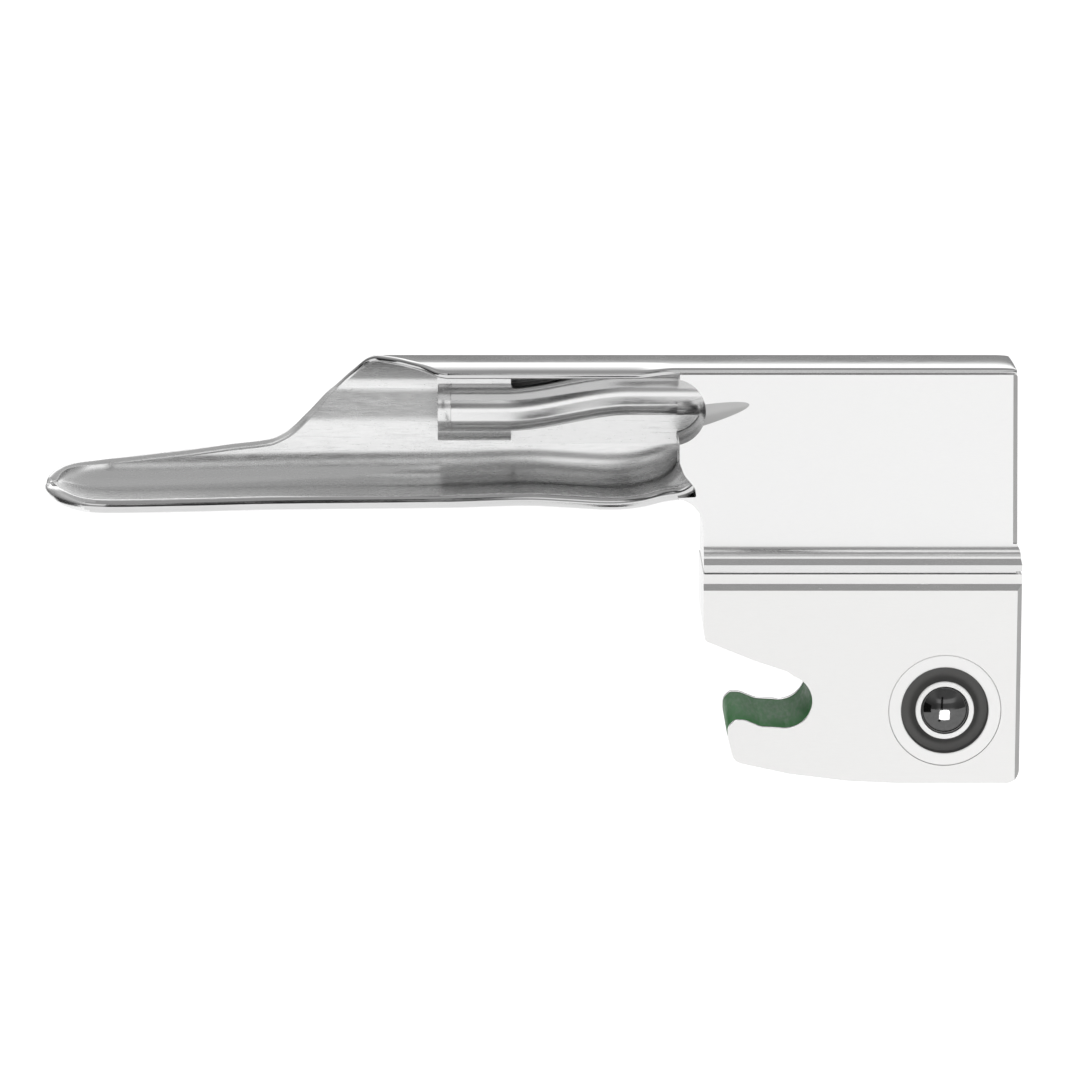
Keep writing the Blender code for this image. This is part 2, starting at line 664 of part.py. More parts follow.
# Dowels between the blocks.
DOWELS = {"dowel_front": (-2.6, 6.6, 14.6), "dowel_rear": (14.6, 6.2, 15.0)}
for name, (x, z0, z1) in DOWELS.items():
    hole = cylinder(name + "_hole", (x, 0, z0 - 0.2), (x, 0, z1 + 0.2), 1.26, 24)
    cut(heel, hole)
    cut(upper, hole)
    finish(cylinder(name, (x, 0, z0), (x, 0, z1), 1.25, 24), copy_mat(PIN, name[6:]))
finish(upper, copy_mat(SATIN, "upper"))
finish(heel, copy_mat(SATIN, "heel"))

# ---- light guide ------------------------------------------------------------
tube = sweep("light_guide_tube", guide_path(GUIDE_X0, INLET_Z), GUIDE_R, 6)
core = sweep("tube_core", guide_path(GUIDE_X0 - 1.0, INLET_Z - 1.0), GUIDE_BORE_R, 5)
cut(tube, core)
# The front end is turned down for the end ferrule.
ring = cylinder("ring_out", (GUIDE_X0 - 1, 0, GUIDE_Z0), (GUIDE_X0 + 1.0, 0, GUIDE_Z0), 3.0, 32)
cut(ring, cylinder("ring_in", (GUIDE_X0 - 2, 0, GUIDE_Z0), (GUIDE_X0 + 2.0, 0, GUIDE_Z0), 1.83, 32))
cut(tube, ring)
finish(tube, copy_mat(STEEL, "guide"))

fibre = sweep("fibre_bundle", guide_path(GUIDE_X0 + 0.55, INLET_Z + 0.55), GUIDE_BORE_R - 0.02, 5)
finish(fibre, FIBRE)
finish(cylinder("light_exit_window", (GUIDE_X0 + 0.04, 0, GUIDE_Z0), (GUIDE_X0 + 0.52, 0, GUIDE_Z0),
                WINDOW_DISC_R, 28), copy_mat(GLASS, "exit"))
finish(cylinder("light_inlet_window", (GUIDE_DOWN_X, 0, INLET_Z + 0.04), (GUIDE_DOWN_X, 0, INLET_Z + 0.52),
                WINDOW_DISC_R, 28), copy_mat(GLASS, "inlet"))
ferrule = cylinder("exit_ferrule", (GUIDE_X0 - 0.12, 0, GUIDE_Z0), (GUIDE_X0 + 0.98, 0, GUIDE_Z0), 2.0, 32)
cut(ferrule, cylinder("fer_in", (GUIDE_X0 - 2, 0, GUIDE_Z0), (GUIDE_X0 + 2, 0, GUIDE_Z0), 1.85, 32))
finish(ferrule, copy_mat(STEEL, "end ferrule"))
ferrule = cylinder("inlet_ferrule", (GUIDE_DOWN_X, 0, INLET_Z), (GUIDE_DOWN_X, 0, -3.40), 2.75, 32)
cut(ferrule, cylinder("fer_in2", (GUIDE_DOWN_X, 0, -9), (GUIDE_DOWN_X, 0, 0), GUIDE_R + 0.02, 32))
finish(ferrule, copy_mat(STEEL, "inlet ferrule"))

# Cradle that carries the tube on the web.
web_face = WEB_Y - SHEET_T / 2 - 0.04
inner = R_TOP - FLANGE_T / 2 - 0.09
loop = [(-0.35, 20.52), (web_face, 20.52)]
loop += [(EDGE_Y + inner * math.cos(math.radians(a)), EDGE_Z + inner * math.sin(math.radians(a)))
         for a in (25, 46, 68, 90)]
loop += [(-0.35, EDGE_Z + inner)]
bm = bmesh.new()
ends = [[bm.verts.new((x * MM, y * MM, z * MM)) for y, z in loop] for x in (-28.45, -22.42)]
for k in range(len(loop)):
    j = (k + 1) % len(loop)
    bm.faces.new((ends[0][k], ends[0][j], ends[1][j], ends[1][k]))
bm.faces.new(ends[0][::-1])
bm.faces.new(ends[1])
cradle = add_mesh("light_guide_cradle", bm)
bevel(cradle, 0.15, 1, 60)
# A flat seat runs on from it behind the tube, back to the block.
cut(cradle, prism("seat_plate", [(-23.5, 23.60), (-23.5, 21.40), (-22.62, 21.40), (-21.72, 20.16), (-8.80, 20.16),
                                 (-8.80, 23.60)], 1.75, web_face - 0.005), "UNION")
cut(cradle, sweep("cradle_bore", guide_path(-30.0, 5.0), GUIDE_R + GUIDE_CLEAR, 6))
finish(cradle, copy_mat(STEEL, "cradle"))

# ---- detent -----------------------------------------------------------------
bush_profile = [
    (BORE_R, -BUSH_DEPTH),
    (BORE_R, -0.50),
    (LIP_R, -0.02),
    (LIP_R + 0.04, 0.0),
    (COLLAR_R - 0.05, 0.0),
    (COLLAR_R, -0.06),
    (2.86, -0.78),
    (3.50, -0.78),
    (RECESS_R, -0.70),
    (RECESS_R, 0.0),
    (BUSH_R - 0.08, 0.0),
    (BUSH_R, -0.08),
    (BUSH_R, -BUSH_DEPTH),
]
for name, side in (("near", -1), ("far", 1)):
    bush = turned(f"detent_bushing_{name}", bush_profile, (DETENT_X, side * HEEL_HALF_Y, DETENT_Z), side, 48)
    finish(bush, copy_mat(SATIN, f"bushing {name}"), 30.0)
    bm = bmesh.new()
    bmesh.ops.create_uvsphere(bm, u_segments=28, v_segments=16, radius=BALL_R * MM)
    bmesh.ops.rotate(bm, matrix=Matrix.Rotation(math.pi / 2, 3, "X"), verts=bm.verts)
    ball = add_mesh(f"detent_ball_{name}", bm)
    ball.location = (DETENT_X * MM, side * BALL_Y * MM, DETENT_Z * MM)
    finish(ball, copy_mat(BALL, name))
sleeve_len = HEEL_HALF_Y - BUSH_DEPTH - 0.05
sleeve = cylinder("detent_sleeve", (DETENT_X, -sleeve_len, DETENT_Z), (DETENT_X, sleeve_len, DETENT_Z), SLEEVE_R, 40)
cut(sleeve, cylinder("sleeve_in", (DETENT_X, -9, DETENT_Z), (DETENT_X, 9, DETENT_Z), BORE_R, 40))
finish(sleeve, copy_mat(PIN, "sleeve"))

# Compression spring between the balls: ground ends rest on the two balls.
WIRE_R, COIL_R, TURNS = 0.24, 1.95, 5.2
contact = math.sqrt((BALL_R + WIRE_R) ** 2 - COIL_R ** 2)
half = BALL_Y - contact - 0.03
n = int(TURNS * 14)
coil = []
for i in range(n + 1):
    u = i / n
    # The end turns lie closed and flat.
    y = -half + 2 * half * min(1.0, max(0.0, (u * TURNS - 0.75) / (TURNS - 1.5)))
    a = 2 * math.pi * TURNS * u
    pitch = 0.53 * (min(0.0, (u * TURNS - 0.75)) / 0.75 + max(0.0, (u * TURNS - TURNS + 0.75)) / 0.75)
    coil.append((DETENT_X + COIL_R * math.cos(a), y + pitch * 0.0, DETENT_Z + COIL_R * math.sin(a)))
spring = sweep("detent_spring", coil, WIRE_R, 2)
finish(spring, SPRING)

for ob in list(CUTTERS.objects):
    as_cutter(ob)
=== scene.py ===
"""The looks of a straight fibre-optic laryngoscope blade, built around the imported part.

Row frame: metres, +Z up, tip toward -X, open side toward -Y, origin at the axis of the hinge pin.
The sizes below are in millimetres.
"""
import math

import bmesh
import bpy
from mathutils import Matrix, Vector


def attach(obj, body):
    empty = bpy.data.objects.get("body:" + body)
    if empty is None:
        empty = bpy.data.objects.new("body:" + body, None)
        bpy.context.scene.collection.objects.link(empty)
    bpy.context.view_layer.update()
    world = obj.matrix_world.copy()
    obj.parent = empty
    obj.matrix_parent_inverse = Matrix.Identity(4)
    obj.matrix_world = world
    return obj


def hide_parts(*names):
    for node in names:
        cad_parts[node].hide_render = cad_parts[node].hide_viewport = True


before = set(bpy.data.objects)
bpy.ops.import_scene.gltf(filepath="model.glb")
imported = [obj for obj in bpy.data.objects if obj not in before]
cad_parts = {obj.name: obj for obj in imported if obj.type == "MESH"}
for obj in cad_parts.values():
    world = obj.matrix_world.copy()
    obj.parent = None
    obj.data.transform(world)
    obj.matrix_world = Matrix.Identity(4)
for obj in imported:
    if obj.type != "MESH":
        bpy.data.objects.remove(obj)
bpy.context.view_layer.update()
MM = 0.001
scene = bpy.context.scene
scene.view_settings.view_transform = "Standard"
scene.view_settings.look = "None"

# ---- sizes shared with the part (mm) ------------------------------------------
TIP_X, SHELL_END_X, STRIP_END_X = -60.4, -8.72, 18.45
SHEET_T, FLANGE_T = 1.15, 0.62
NEAR_Y, WEB_Y, R_LOW, R_TOP, CROWN_Z = -4.9, 4.42, 3.2, 2.8, 27.22
FLANGE_EDGE_Y, FLANGE_DROOP = -4.8, 0.40
BLOCK_HALF_Y, BLOCK_TOP_Z, BLOCK_RIGHT_X = 5.25, 26.84, 18.72
PLATE_HALF_Y, PLATE_BOTTOM_Z = 5.95, 10.55
HEEL_HALF_Y, HEEL_TOP_Z, HEEL_BASE_Z = 6.25, 10.52, -6.78
HEEL_LEFT_X, HEEL_RIGHT_X = -6.70, 19.26
SEAT_R, INSERT_T, INSERT_HALF_Y, CHEEK_GAP = 2.24, 0.70, 5.70, 0.03
GUIDE_R, GUIDE_BORE_R, GUIDE_CLEAR = 2.0, 1.66, 0.03
GUIDE_X0, GUIDE_Z0, GUIDE_Z1, GUIDE_BEND_R, GUIDE_DOWN_X, INLET_Z = -28.3, 23.46, 24.80, 6.0, 6.20, -6.50
DETENT_X, DETENT_Z = 13.08, -0.71
BUSH_R, BUSH_DEPTH, RECESS_R, COLLAR_R, LIP_R = 4.60, 2.0, 3.58, 2.40, 1.95
BALL_R, BALL_Y, BORE_R, SLEEVE_R = 2.38, 4.80, 2.44, 2.90

PIECES = bpy.data.collections.new("visual")
scene.collection.children.link(PIECES)


# ---- mesh helpers ---------------------------------------------------------------
def link(name, bm, merge=1e-7):
    bmesh.ops.remove_doubles(bm, verts=bm.verts, dist=merge)
    bmesh.ops.recalc_face_normals(bm, faces=bm.faces)
    me = bpy.data.meshes.new(name)
    bm.to_mesh(me)
    bm.free()
    ob = bpy.data.objects.new(name, me)
    PIECES.objects.link(ob)
    return ob


def bake(ob):
    deps = bpy.context.evaluated_depsgraph_get()
    deps.update()
    me = bpy.data.meshes.new_from_object(ob.evaluated_get(deps), depsgraph=deps)
    if ob.type == "MESH":
        old = ob.data
        ob.modifiers.clear()
        ob.data = me
        bpy.data.meshes.remove(old)
        return ob
    name, mat = ob.name, ob.matrix_world.copy()
    bpy.data.objects.remove(ob, do_unlink=True)
    me.transform(mat)
    bm = bmesh.new()
    bm.from_mesh(me)
    bpy.data.meshes.remove(me)
    return link(name, bm)


def cut(ob, other, op="DIFFERENCE", keep=False):
    mod = ob.modifiers.new("cut", "BOOLEAN")
    mod.operation = op
    mod.solver = "EXACT"
    mod.object = other
    bake(ob)
    bm = bmesh.new()
    bm.from_mesh(ob.data)
    bmesh.ops.remove_doubles(bm, verts=bm.verts, dist=2e-7)
    bmesh.ops.dissolve_degenerate(bm, edges=bm.edges, dist=2e-7)
    bm.to_mesh(ob.data)
    bm.free()
    if not keep:
        me = other.data
        bpy.data.objects.remove(other, do_unlink=True)
        bpy.data.meshes.remove(me)
    return ob


def bevel(ob, width, segments=3, angle=35.0):
    mod = ob.modifiers.new("edges", "BEVEL")
    mod.width = width * MM
    mod.segments = segments
    mod.limit_method = "ANGLE"
    mod.angle_limit = math.radians(angle)
    mod.use_clamp_overlap = True
    mod.miter_outer = "MITER_ARC"
    return bake(ob)


def smooth(ob, angle=32.0):
    ob.data.shade_smooth()
    ob.data.set_sharp_from_angle(angle=math.radians(angle))
    return ob


def keep_flats(ob, area=4.0):
    """Large flat faces aren't shaded into the bevels round them."""
    bm = bmesh.new()
    bm.from_mesh(ob.data)
    for e in bm.edges:
        if len(e.link_faces) == 2:
            f, g = e.link_faces
            broad = max(f.calc_area(), g.calc_area()) > area * MM * MM
            side = max(abs(f.normal.y), abs(g.normal.y)) > 0.99999
            if (broad or side) and f.normal.dot(g.normal) < 0.99995:
                e.smooth = False
    bm.to_mesh(ob.data)
    bm.free()
    return ob


def cylinder(name, p0, p1, r, seg=64, r2=None):
    a, b = Vector(p0) * MM, Vector(p1) * MM
    axis = b - a
    bm = bmesh.new()
    bmesh.ops.create_cone(bm, cap_ends=True, segments=seg, radius1=r * MM,
                          radius2=(r if r2 is None else r2) * MM, depth=axis.length)
    rot = Vector((0, 0, 1)).rotation_difference(axis.normalized()).to_matrix().to_4x4()
    bmesh.ops.transform(bm, matrix=Matrix.Translation((a + b) / 2) @ rot, verts=bm.verts)
    return link(name, bm)


def bar(name, loop, x0, x1):
    """A straight bar along X with a closed YZ outline."""
    bm = bmesh.new()
    ends = [[bm.verts.new((x * MM, y * MM, z * MM)) for y, z in loop] for x in (x0, x1)]
    n = len(loop)
    for k in range(n):
        j = (k + 1) % n
        bm.faces.new((ends[0][k], ends[0][j], ends[1][j], ends[1][k]))
    bm.faces.new(ends[0][::-1])
    bm.faces.new(ends[1])
    return link(name, bm)


def filleted(corners, step=6.0):
    out = []
    n = len(corners)
    for i, (x, z, r) in enumerate(corners):
        p = Vector((x, z))
        if r <= 0:
            out.append(p)
            continue
        a = Vector(corners[i - 1][:2]) - p
        b = Vector(corners[(i + 1) % n][:2]) - p
        half = a.angle(b) / 2
        d = min(r / math.tan(half), 0.49 * a.length, 0.49 * b.length)
        rr = d * math.tan(half)
        bis = (a.normalized() + b.normalized()).normalized()
        c = p + bis * (rr / math.sin(half))
        s, e = p + a.normalized() * d - c, p + b.normalized() * d - c
        turn = s.angle_signed(e)
        k = max(2, int(math.degrees(abs(turn)) / step) + 1)
        for j in range(k + 1):
            t = -turn * j / k
            out.append(c + Vector((s.x * math.cos(t) - s.y * math.sin(t),
                                   s.x * math.sin(t) + s.y * math.cos(t))))
    return out


def prism(name, outline, y0, y1):
    cu = bpy.data.curves.new(name, "CURVE")
    cu.dimensions = "2D"
    cu.fill_mode = "BOTH"
    cu.extrude = abs(y1 - y0) / 2 * MM
    sp = cu.splines.new("POLY")
    sp.points.add(len(outline) - 1)
    for pt, (x, z) in zip(sp.points, outline):
        pt.co = (x * MM, z * MM, 0, 1)
    sp.use_cyclic_u = True
    ob = bpy.data.objects.new(name, cu)
    PIECES.objects.link(ob)
    ob.matrix_world = Matrix.Translation((0, (y0 + y1) / 2 * MM, 0)) @ Matrix.Rotation(math.pi / 2, 4, "X")
    return bake(ob)


def turned(name, profile, centre, outward, steps=96):
    bm = bmesh.new()
    vs = [bm.verts.new((r * MM, 0, h * MM)) for r, h in profile]
    for i in range(len(vs)):
        bm.edges.new((vs[i], vs[(i + 1) % len(vs)]))
    me = bpy.data.meshes.new(name)
    bm.to_mesh(me)
    bm.free()
    ob = bpy.data.objects.new(name, me)
    PIECES.objects.link(ob)
    mod = ob.modifiers.new("turn", "SCREW")
    mod.axis = "Z"
    mod.steps = mod.render_steps = steps
    mod.use_merge_vertices = True
    mod.merge_threshold = 1e-6
    bake(ob)
    rot = Vector((0, 0, 1)).rotation_difference(Vector((0, outward, 0))).to_matrix().to_4x4()
    ob.data.transform(Matrix.Translation(Vector(centre) * MM) @ rot)
    bm = bmesh.new()
    bm.from_mesh(ob.data)
    bmesh.ops.remove_doubles(bm, verts=bm.verts, dist=1e-7)
    bmesh.ops.dissolve_degenerate(bm, edges=bm.edges, dist=1e-8)
    bmesh.ops.recalc_face_normals(bm, faces=bm.faces)
    bm.to_mesh(ob.data)
    bm.free()
    return ob


def sweep(name, path, r, resolution=12):
    cu = bpy.data.curves.new(name, "CURVE")
    cu.dimensions = "3D"
    cu.bevel_depth = r * MM
    cu.bevel_resolution = resolution
    cu.use_fill_caps = True
    sp = cu.splines.new("POLY")
    sp.points.add(len(path) - 1)
    for pt, p in zip(sp.points, path):
        pt.co = (p[0] * MM, p[1] * MM, p[2] * MM, 1)
    ob = bpy.data.objects.new(name, cu)
    PIECES.objects.link(ob)
    return bake(ob)


# ---- curves ---------------------------------------------------------------------
def blend(x, knots):
    if x <= knots[0][0]:
        return knots[0][1]
    for (x0, v0), (x1, v1) in zip(knots, knots[1:]):
        if x <= x1:
            t = (x - x0) / (x1 - x0)
            return v0 + (v1 - v0) * t * t * (3 - 2 * t)
    return knots[-1][1]


def linear(x, knots):
    if x <= knots[0][0]:
        return knots[0][1]
    for (x0, v0), (x1, v1) in zip(knots, knots[1:]):
        if x <= x1:
            return v0 + (v1 - v0) * (x - x0) / (x1 - x0)
    return knots[-1][1]


def curve(x, knots):
    n = len(knots)
    if x <= knots[0][0]:
        return knots[0][1]
    if x >= knots[-1][0]:
        return knots[-1][1]
    rise = [(b[1] - a[1]) / (b[0] - a[0]) for a, b in zip(knots, knots[1:])]
    tan = [rise[0]] + [0.0 if a * b <= 0 else 2 * a * b / (a + b) for a, b in zip(rise, rise[1:])] + [rise[-1]]
    for i in range(n - 1):
        (x0, v0), (x1, v1) = knots[i], knots[i + 1]
        if x <= x1:
            h = x1 - x0
            t = (x - x0) / h
            return ((2 * t ** 3 - 3 * t ** 2 + 1) * v0 + (t ** 3 - 2 * t ** 2 + t) * h * tan[i]
                    + (3 * t ** 2 - 2 * t ** 3) * v1 + (t ** 3 - t ** 2) * h * tan[i + 1])


# ---- the channel ------------------------------------------------------------------
FLOOR_Z = [(TIP_X, 16.98), (-59.6, 16.50), (-58.5, 16.12), (-57.3, 15.86), (-55.5, 15.76), (-48.5, 15.87),
           (-42.0, 16.03), (-27.4, 16.19), (-21.0, 16.36), (-17.6, 16.20), (-14.3, 16.03),
           (-12.7, 16.11), (-11.1, 16.40), (-9.6, 16.84), (-8.6, 16.97), (-7.4, 17.00)]
RIM_H = [(TIP_X, 2.55), (-57.2, 2.64), (-55.9, 2.76), (-52.5, 3.10), (-49.2, 3.41), (-45.9, 3.80), (-42.5, 4.14),
         (-40.9, 4.80), (-39.2, 6.22), (-37.5, 8.06), (-37.1, 8.46)]
RAMP_END_X = -37.2
BEND_RISE = [(RAMP_END_X, 0.0), (-36.5, 0.62), (-35.8, 1.29), (-35.0, 2.10), (-34.1, 3.30), (-33.3, 4.40)]
FLAT_LEN = WEB_Y - R_LOW - NEAR_Y
ARC_LOW = R_LOW * math.pi / 2
ARC_TOP = R_TOP * math.pi / 2
FLANGE_LEN = WEB_Y - R_TOP - FLANGE_EDGE_Y
FLANGE_RUN = [(-33.3, 0.0), (-32.4, 0.95), (-31.4, 2.1), (-30.2, 3.9), (-29.0, FLANGE_LEN - 0.95),
              (-28.3, FLANGE_LEN - 0.25), (-27.6, FLANGE_LEN)]
FLOOR_TABLE = {}


def floor_z(x):
    key = round(x, 6)
    if key not in FLOOR_TABLE:
        # Averaged over a short length, so that the knots leave no kink in the mirror finish.
        FLOOR_TABLE[key] = sum(w * curve(x + d, FLOOR_Z) for d, w in
                               ((-0.8, 0.12), (-0.4, 0.22), (0, 0.32), (0.4, 0.22), (0.8, 0.12)))
    return FLOOR_TABLE[key]


def web_len(x):
    return CROWN_Z - R_TOP - (floor_z(x) + R_LOW)


def end_length(x):
    web_end = FLAT_LEN + ARC_LOW + web_len(x)
    if x < RAMP_END_X:
        h = curve(x, RIM_H)
        if h < R_LOW:
            return FLAT_LEN + R_LOW * math.acos(1 - h / R_LOW)
        return min(FLAT_LEN + ARC_LOW + (h - R_LOW), web_end)
    if x < FLANGE_RUN[0][0]:
        return web_end + min(ARC_TOP, curve(x, BEND_RISE))
    return web_end + ARC_TOP + curve(x, FLANGE_RUN)


SCOOP_X, SCOOP_R = -9.95, 2.35
ARCH = 0.22        # the flange is slightly crowned across its width


def point(x, s):
    z0 = floor_z(x)
    w = web_len(x)
    if s <= FLAT_LEN:
        y = NEAR_Y + s
        lip = 0.30 * max(0.0, 1 - s / 1.6) ** 2
        return y, z0 + lip, SHEET_T
    s -= FLAT_LEN
    if s <= ARC_LOW:
        a = s / R_LOW
        return WEB_Y - R_LOW + R_LOW * math.sin(a), z0 + R_LOW * (1 - math.cos(a)), SHEET_T
    s -= ARC_LOW
    if s <= w:
        t = linear(s, [(w - 2.6, SHEET_T), (w, FLANGE_T)])
        return WEB_Y, z0 + R_LOW + s, t
    s -= w
    if s <= ARC_TOP:
        a = s / R_TOP
        return WEB_Y - R_TOP + R_TOP * math.cos(a), CROWN_Z - R_TOP + R_TOP * math.sin(a), FLANGE_T
    s -= ARC_TOP
    y = WEB_Y - R_TOP - s
    droop = FLANGE_DROOP * blend(x, [(-12.5, 1.0), (-9.0, 0.0)])
    droop *= max(0.0, (-2.4 - y) / (-2.4 - FLANGE_EDGE_Y)) ** 2
    droop += ARCH * (s / FLANGE_LEN) ** 2.6
    return y, CROWN_Z - droop, FLANGE_T


def tip_scale(x):
    u = max(0.0, min(1.0, (x - TIP_X) / 5.2 + 0.012))
    return math.sqrt(max(0.0, 1 - (1 - u) ** 2.3))


def rim_scale(x):
    return max(0.5, tip_scale(x))


def skin(x, s):
    """Mid surface of the sheet, as it is drawn."""
    y, z, t = point(x, s)
    share = tip_scale(x)
    bx = 0.0
    if share < 1.0:
        z0 = floor_z(x)
        bx = 0.20 * (1 - share) * min(1.0, abs(y) / 4.9) ** 2
        y *= share
        z = z0 + (z - z0) * share
        t *= 0.80 + 0.20 * min(1.0, max(0.0, (x - TIP_X) / 1.2))
    if s < FLAT_LEN + ARC_LOW + web_len(x) and x > -10.6:
        a = 0.0 if s < FLAT_LEN else min(math.pi / 2, (s - FLAT_LEN) / R_LOW)
        u = min(1.0, (x + 10.6) / (SHELL_END_X + 10.6))
        bx += u * u * linear(z + math.cos(a) * SHEET_T / 2, [(17.60, 1.60), (18.50, 0.95), (19.20, 0.32)])
        # The trough ends in a scoop that climbs to meet the block.
        fade = 1.0 - blend(s, [(FLAT_LEN - 1.0, 0.0), (FLAT_LEN + ARC_LOW * 0.95, 1.0)])
        start = linear(s, [(0.0, SCOOP_X + 1.05), (2.6, SCOOP_X), (FLAT_LEN, SCOOP_X - 0.5)])
        d = max(0.0, min(0.985 * SCOOP_R, x + bx - start))
        climb = fade * (SCOOP_R - math.sqrt(SCOOP_R ** 2 - d * d))
        y -= math.sin(a) * climb
        z += math.cos(a) * climb
    # The flange's right end is polished over.
    if x > 16.4:
        z -= 0.07 * ((x - 16.4) / (STRIP_END_X - 16.4)) ** 4
    return Vector((x + bx, y, z)), t


def stations():
    xs = []
    n = 36
    for i in range(n):
        a = math.radians(9 + 81 * i / (n - 1))
        xs.append(TIP_X + 5.2 * (1 - math.cos(a)) - 5.2 * (1 - math.cos(math.radians(9))) * (1 - i / (n - 1)))
    x = xs[-1]
    for x1, step in ((-43.5, 0.6), (-41.5, 0.30), (-37.2, 0.18), (-33.3, 0.17), (-27.4, 0.20), (-21.0, 0.5),
                     (-10.6, 0.4), (SHELL_END_X, 0.06)):
        k = max(1, int(round((x1 - x) / step)))
        xs += [x + (x1 - x) * j / k for j in range(1, k + 1)]
        x = x1
    main = len(xs) - 1
    for x1, step in ((-8.2, 0.26), (16.4, 1.2), (STRIP_END_X, 0.17)):
        k = max(1, int(round((x1 - x) / step)))
        xs += [x + (x1 - x) * j / k for j in range(1, k + 1)]
        x = x1
    return xs, main


def build_channel(name):
    n_flat, n_low, n_web, n_top, n_flange = 26, 26, 14, 26, 24
    xs, main = stations()
    kw = n_flat + n_low + n_web
    kk = kw + n_top + n_flange
    grid = {}

    def rows(x, cut_start):
        s_end = end_length(x)
        _, t_end = skin(x, s_end)
        near_r, far_r = 0.46 * SHEET_T, 0.46 * t_end
        near_r *= rim_scale(x)
        far_r *= rim_scale(x)
        s_stop = s_end - far_r
        web_end = FLAT_LEN + ARC_LOW + web_len(x)
        crown = web_end + ARC_TOP
        s_low = min(FLAT_LEN + ARC_LOW, FLAT_LEN + 0.62 * (s_stop - FLAT_LEN))
        s_web = max(s_low + 0.05, min(crown - ARC_TOP, s_stop - 1.2))
        s_top = max(s_web + 0.05, min(crown, s_stop - 0.6))
        if s_end - FLAT_LEN < 6.0:
            s_web = s_low + 0.40 * (s_stop - s_low)
            s_top = s_low + 0.70 * (s_stop - s_low)
        out = [near_r + (FLAT_LEN - near_r) * i / n_flat for i in range(n_flat + 1)]
        for n, lo, hi in ((n_low, FLAT_LEN, s_low), (n_web, s_low, s_web), (n_top, s_web, s_top),
                          (n_flange, s_top, s_stop)):
            out += [lo + (hi - lo) * i / n for i in range(1, n + 1)]
        return out

    def frame_at(x, s):
        p, t = skin(x, s)
        dx, ds = 0.01, 0.01
        if abs(x - SHELL_END_X) < 0.02:
            px = skin(x, s)[0] - skin(x - dx, s)[0]
        else:
            px = skin(x + dx, s)[0] - skin(x - dx, s)[0]
        ps = skin(x, s + ds)[0] - skin(x, s - ds)[0]
        n = px.cross(ps)
        return p, n.normalized(), t

    for i, x in enumerate(xs):
        marks = rows(x, i > main)
        for k, s in enumerate(marks):
            if i > main and k < kw:
                continue
            grid[i, k] = frame_at(x, s)
    last = len(xs) - 1
    loop = [(i, 0) for i in range(0, main)]
    loop += [(main, k) for k in range(0, kw)]
    loop += [(i, kw) for i in range(main, last)]
    loop += [(last, k) for k in range(kw, kk)]
    loop += [(i, kk) for i in range(last, 0, -1)]
    loop += [(0, k) for k in range(kk, 0, -1)]

    bm = bmesh.new()
    top, bot = {}, {}
    for key, (p, n, t) in grid.items():
        top[key] = bm.verts.new((p + n * (t / 2)) * MM)
        bot[key] = bm.verts.new((p - n * (t / 2)) * MM)
    for (i, k) in grid:
        q = [(i, k), (i + 1, k), (i + 1, k + 1), (i, k + 1)]
        if all(c in grid for c in q):
            bm.faces.new([top[c] for c in q])
            bm.faces.new([bot[c] for c in q[::-1]])
    m = 8
    rings = []
    n = len(loop)
    for j, key in enumerate(loop):
        p, nor, t = grid[key]
        tan = grid[loop[(j + 1) % n]][0] - grid[loop[j - 1]][0]
        co = tan.cross(nor)
        co = (co - nor * co.dot(nor)).normalized()
        r = 0.46 * t * rim_scale(xs[key[0]])
        ring = [top[key]]
        for a in range(1, m):
            th = math.pi * a / m
            ring.append(bm.verts.new((p + nor * (t / 2 * math.cos(th)) + co * (r * math.sin(th))) * MM))
        ring.append(bot[key])
        rings.append(ring)
    for j in range(n):
        a, b = rings[j], rings[(j + 1) % n]
        for c in range(m):
            bm.faces.new((a[c], a[c + 1], b[c + 1], b[c]))
    return smooth(link(name, bm, 1e-8), 60.0)


channel = build_channel("channel_polished")

# ---- upper block --------------------------------------------------------------------
upper = prism("upper_block_satin", filleted([
    (-6.68, 11.00, 0),
    (-6.68, 14.10, 0),
    *[(-9.15 + 2.47 * math.cos(math.radians(a)), 14.10 + 2.55 * math.sin(math.radians(a)), 0)
      for a in range(6, 83, 6)],
    (-8.80, 16.72, 0),
    (-7.30, 16.80, 0.15),
    (-7.42, 17.55, 0.8),
    (-8.29, 18.60, 1.2),
    (-8.68, 19.60, 0.8),
    (-8.68, BLOCK_TOP_Z, 0),
    (BLOCK_RIGHT_X, BLOCK_TOP_Z, 0.25),
    (BLOCK_RIGHT_X + 0.22, 11.00, 0),
]), -BLOCK_HALF_Y, BLOCK_HALF_Y)
bm = bmesh.new()
rings = []
# A shallow relief at the joint, a square land, then a chamfer and a small fillet up to the block.
flare = [(PLATE_BOTTOM_Z, -6.60, 18.80, 5.45), (10.80, -6.60, 18.80, 5.45), (10.80, -6.68, HEEL_RIGHT_X, PLATE_HALF_Y),
         (11.30, -6.68, HEEL_RIGHT_X, PLATE_HALF_Y), (11.78, -6.68, 19.16, 5.62)]
for i in range(1, 9):
    a = math.radians(90 * i / 8)
    flare.append((11.78 + 0.95 * math.sin(a), -6.68, 19.16 - 0.28 * (1 - math.cos(a)), 5.62 - 0.40 * (1 - math.cos(a))))
for z, lx, hx, hy in flare:
    rings.append([bm.verts.new((x * MM, y * MM, z * MM)) for x, y in ((lx, -hy), (hx, -hy), (hx, hy), (lx, hy))])
for a, b in zip(rings, rings[1:]):
    for k in range(4):
        bm.faces.new((a[k], a[(k + 1) % 4], b[(k + 1) % 4], b[k]))
bm.faces.new(rings[0][::-1])
bm.faces.new(rings[-1])
cut(upper, link("foot", bm), "UNION")
